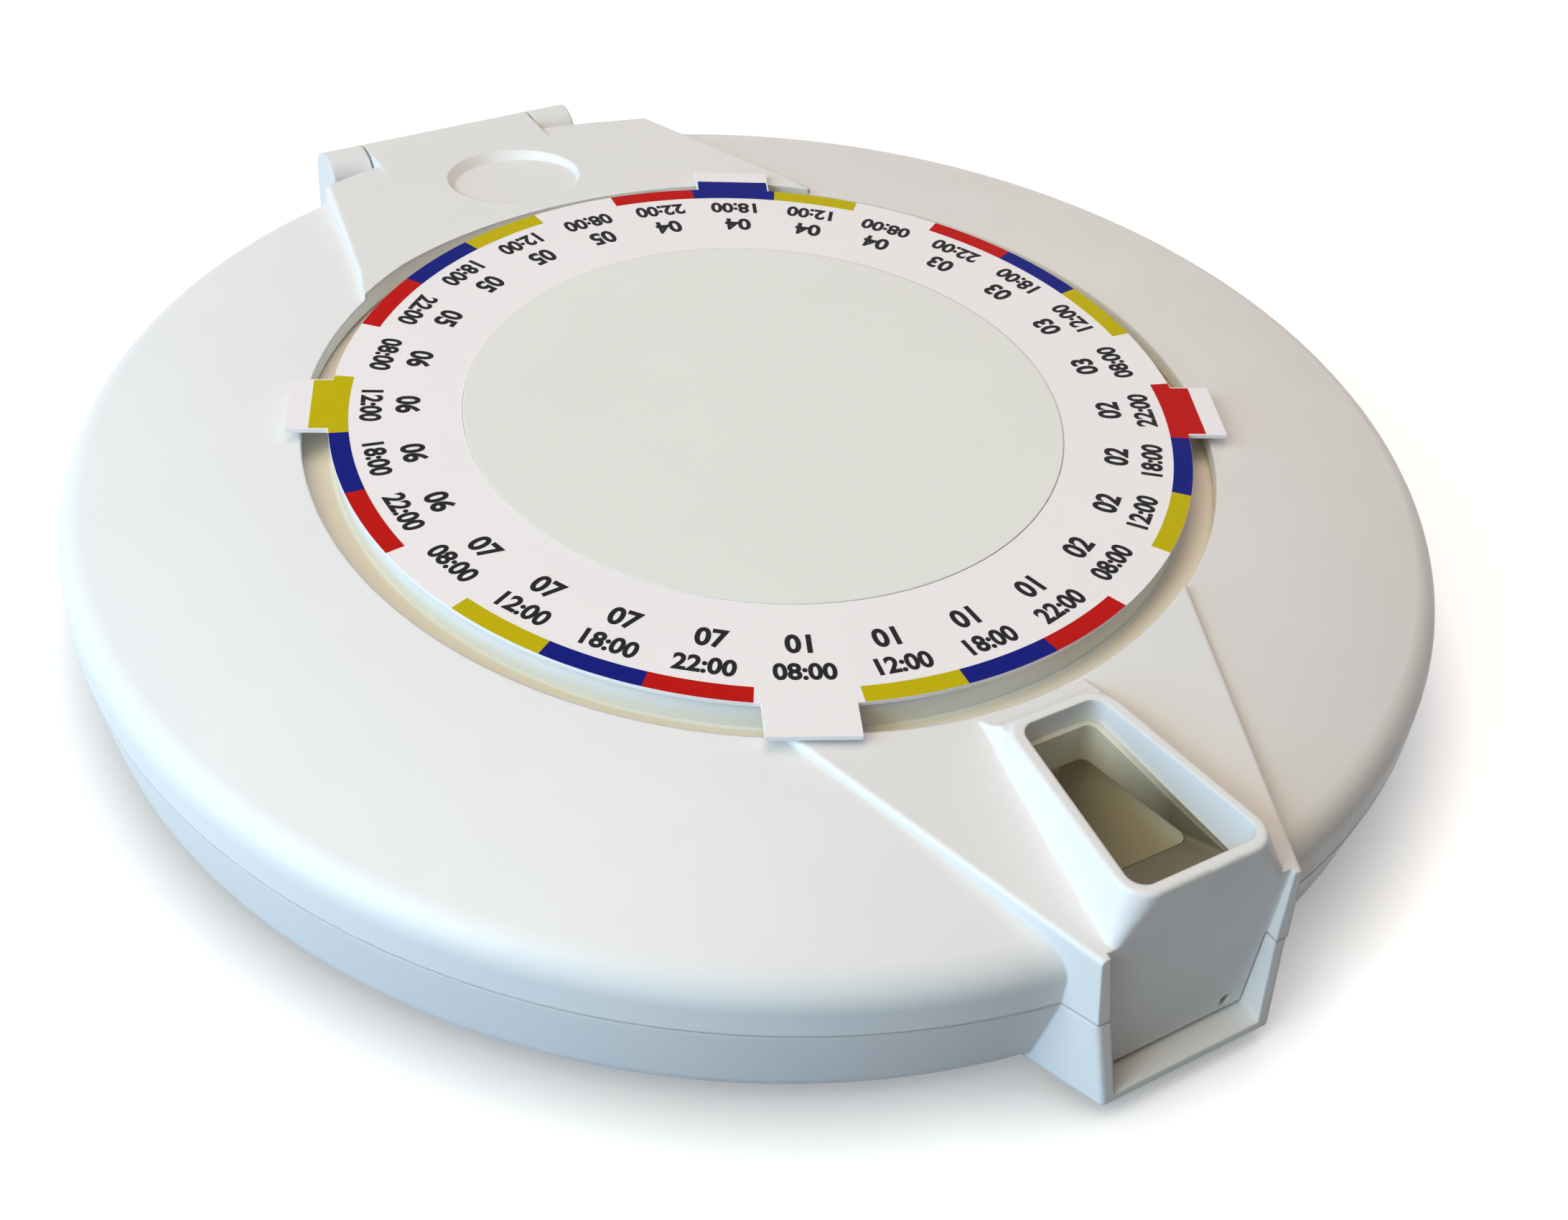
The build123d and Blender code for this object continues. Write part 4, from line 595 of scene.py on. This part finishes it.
def display_digits():
    """The time in seven-segment figures on the liquid crystal film."""
    low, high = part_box("display_panel")
    centre = (low + high) / 2
    w, h, thick = DIGIT_WIDTH / 2, DIGIT_HEIGHT / 2, DIGIT_STROKE / 2
    bars = {
        "a": (0, h, True), "g": (0, 0, True), "d": (0, -h, True),
        "f": (-w, h / 2, False), "b": (w, h / 2, False),
        "e": (-w, -h / 2, False), "c": (w, -h / 2, False),
    }
    shapes = []
    for place, figure in enumerate(CLOCK):
        shift = (place - (len(CLOCK) - 1) / 2) * DIGIT_PITCH
        for key in SEGMENTS[figure]:
            x, y, level = bars[key]
            half = (w if level else h / 2) - DIGIT_GAP
            shapes.append((segment(half, thick, level), shift + x, y))
    shapes += [(circle(thick, COLON_STEPS), 0, y) for y in (-COLON_RISE, COLON_RISE)]
    bm = bmesh.new()
    for points, x, y in shapes:
        outline = shifted(points, centre.x + x + DIGIT_LEAN * y, centre.y + y)
        prism(bm, outline, high.z, high.z + INK_T)
    piece("display_digits", bm, ink("display_ink", (0.02, 0.025, 0.02), rough=0.3), "base")


# ================================================================ floor, lights, camera

def seen_ray(tree, level):
    """The given level for rays that show a surface: from the camera, in gloss and through clear parts."""
    path = tree.nodes.new("ShaderNodeLightPath")
    seen = path.outputs["Is Camera Ray"]
    for name in ("Is Glossy Ray", "Is Transmission Ray"):
        seen = worked_out(tree, "MAXIMUM", seen, path.outputs[name])
    return worked_out(tree, "MULTIPLY", seen, level)


def mixed_shaders(tree, factor, first, second, output):
    """Sends a mix of two shaders to the output node."""
    mix = tree.nodes.new("ShaderNodeMixShader")
    tree.links.new(factor, mix.inputs["Fac"])
    tree.links.new(first, mix.inputs[1])
    tree.links.new(second, mix.inputs[2])
    tree.links.new(mix.outputs["Shader"], tree.nodes[output].inputs["Surface"])


def floor():
    """A pale floor. The camera sees it nearly white, with the object's soft shadow, and a painted contact
    shadow close by.
    """
    mat, tree, shader, coords = new_material("floor_paper")
    # painted contact shadow: ambient occlusion darkens the floor's colour and its white light close to the
    # object
    near = tree.nodes.new("ShaderNodeAmbientOcclusion")
    near.samples = CONTACT_SAMPLES
    near.inputs["Distance"].default_value = CONTACT_REACH
    open_sky = between(tree, near.outputs["AO"], 0, 1, CONTACT_FULL, 1.0)
    bounce = mottled(tree, noise(tree, coords, FLOOR_MOTTLE, PLAIN), FLOOR_BOUNCE, dark=0.98)
    seen = blended(tree, open_sky, shade(FLOOR_SEEN, CONTACT_SHADE), FLOOR_SEEN)
    tree.links.new(blended(tree, seen_ray(tree, 1.0), bounce, seen), shader.inputs["Base Color"])
    shader.inputs["Roughness"].default_value = FLOOR_ROUGH
    white = tree.nodes.new("ShaderNodeEmission")
    tree.links.new(blended(tree, open_sky, shade(FLOOR_WHITE, CONTACT_SHADE), FLOOR_WHITE),
                   white.inputs["Color"])
    mixed_shaders(tree, seen_ray(tree, FLOOR_LIFT), shader.outputs["BSDF"], white.outputs["Emission"],
                  "Material Output")
    bm = bmesh.new()
    bmesh.ops.create_grid(bm, x_segments=FLOOR_CELLS, y_segments=FLOOR_CELLS, size=FLOOR_HALF)
    mesh_object("floor", bm, mat)


def world_light():
    """Even pale surroundings. Seen directly or in gloss they are white."""
    world = bpy.data.worlds.new("studio")
    bpy.context.scene.world = world
    world.use_nodes = True
    tree = world.node_tree
    soft = tree.nodes["Background"]
    feed(tree, soft.inputs["Color"], WORLD_COLOUR)
    soft.inputs["Strength"].default_value = WORLD_LEVEL
    white = tree.nodes.new("ShaderNodeBackground")
    feed(tree, white.inputs["Color"], WHITE)
    mixed_shaders(tree, seen_ray(tree, 1.0), soft.outputs["Background"], white.outputs["Background"],
                  "World Output")


def soft_lamp(name, place, side, watts, colour):
    """A square soft lamp aimed at the origin, which is the middle of the object's underside."""
    data = bpy.data.lights.new(name, "AREA")
    data.size = side
    data.energy = watts
    data.color = colour
    lamp = new_object(name, data)
    lamp.location = place
    lamp.rotation_euler = (-Vector(place)).to_track_quat("-Z", "Y").to_euler()


def camera():
    """The camera at the photo's place."""
    data = bpy.data.cameras.new("camera")
    data.sensor_fit = "HORIZONTAL"
    data.sensor_width = SENSOR_MM
    data.lens = LENS_MM
    obj = new_object("camera", data)
    up = CAMERA_RIGHT.cross(CAMERA_FORWARD)
    turn = Matrix((CAMERA_RIGHT, up, -CAMERA_FORWARD)).transposed().to_4x4()
    obj.matrix_world = Matrix.Translation(CAMERA_AT) @ turn
    bpy.context.scene.camera = obj


# ================================================================ the scene

bpy.context.scene.view_settings.view_transform = "Standard"
paint_frame(slot_materials())
card_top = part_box("label_card")[1].z
card_bars(card_top)
card_figures(card_top)
display_digits()
tray_figures()
fascia_marks()
camera()
floor()
world_light()
for lamp in LAMPS:
    soft_lamp(*lamp)
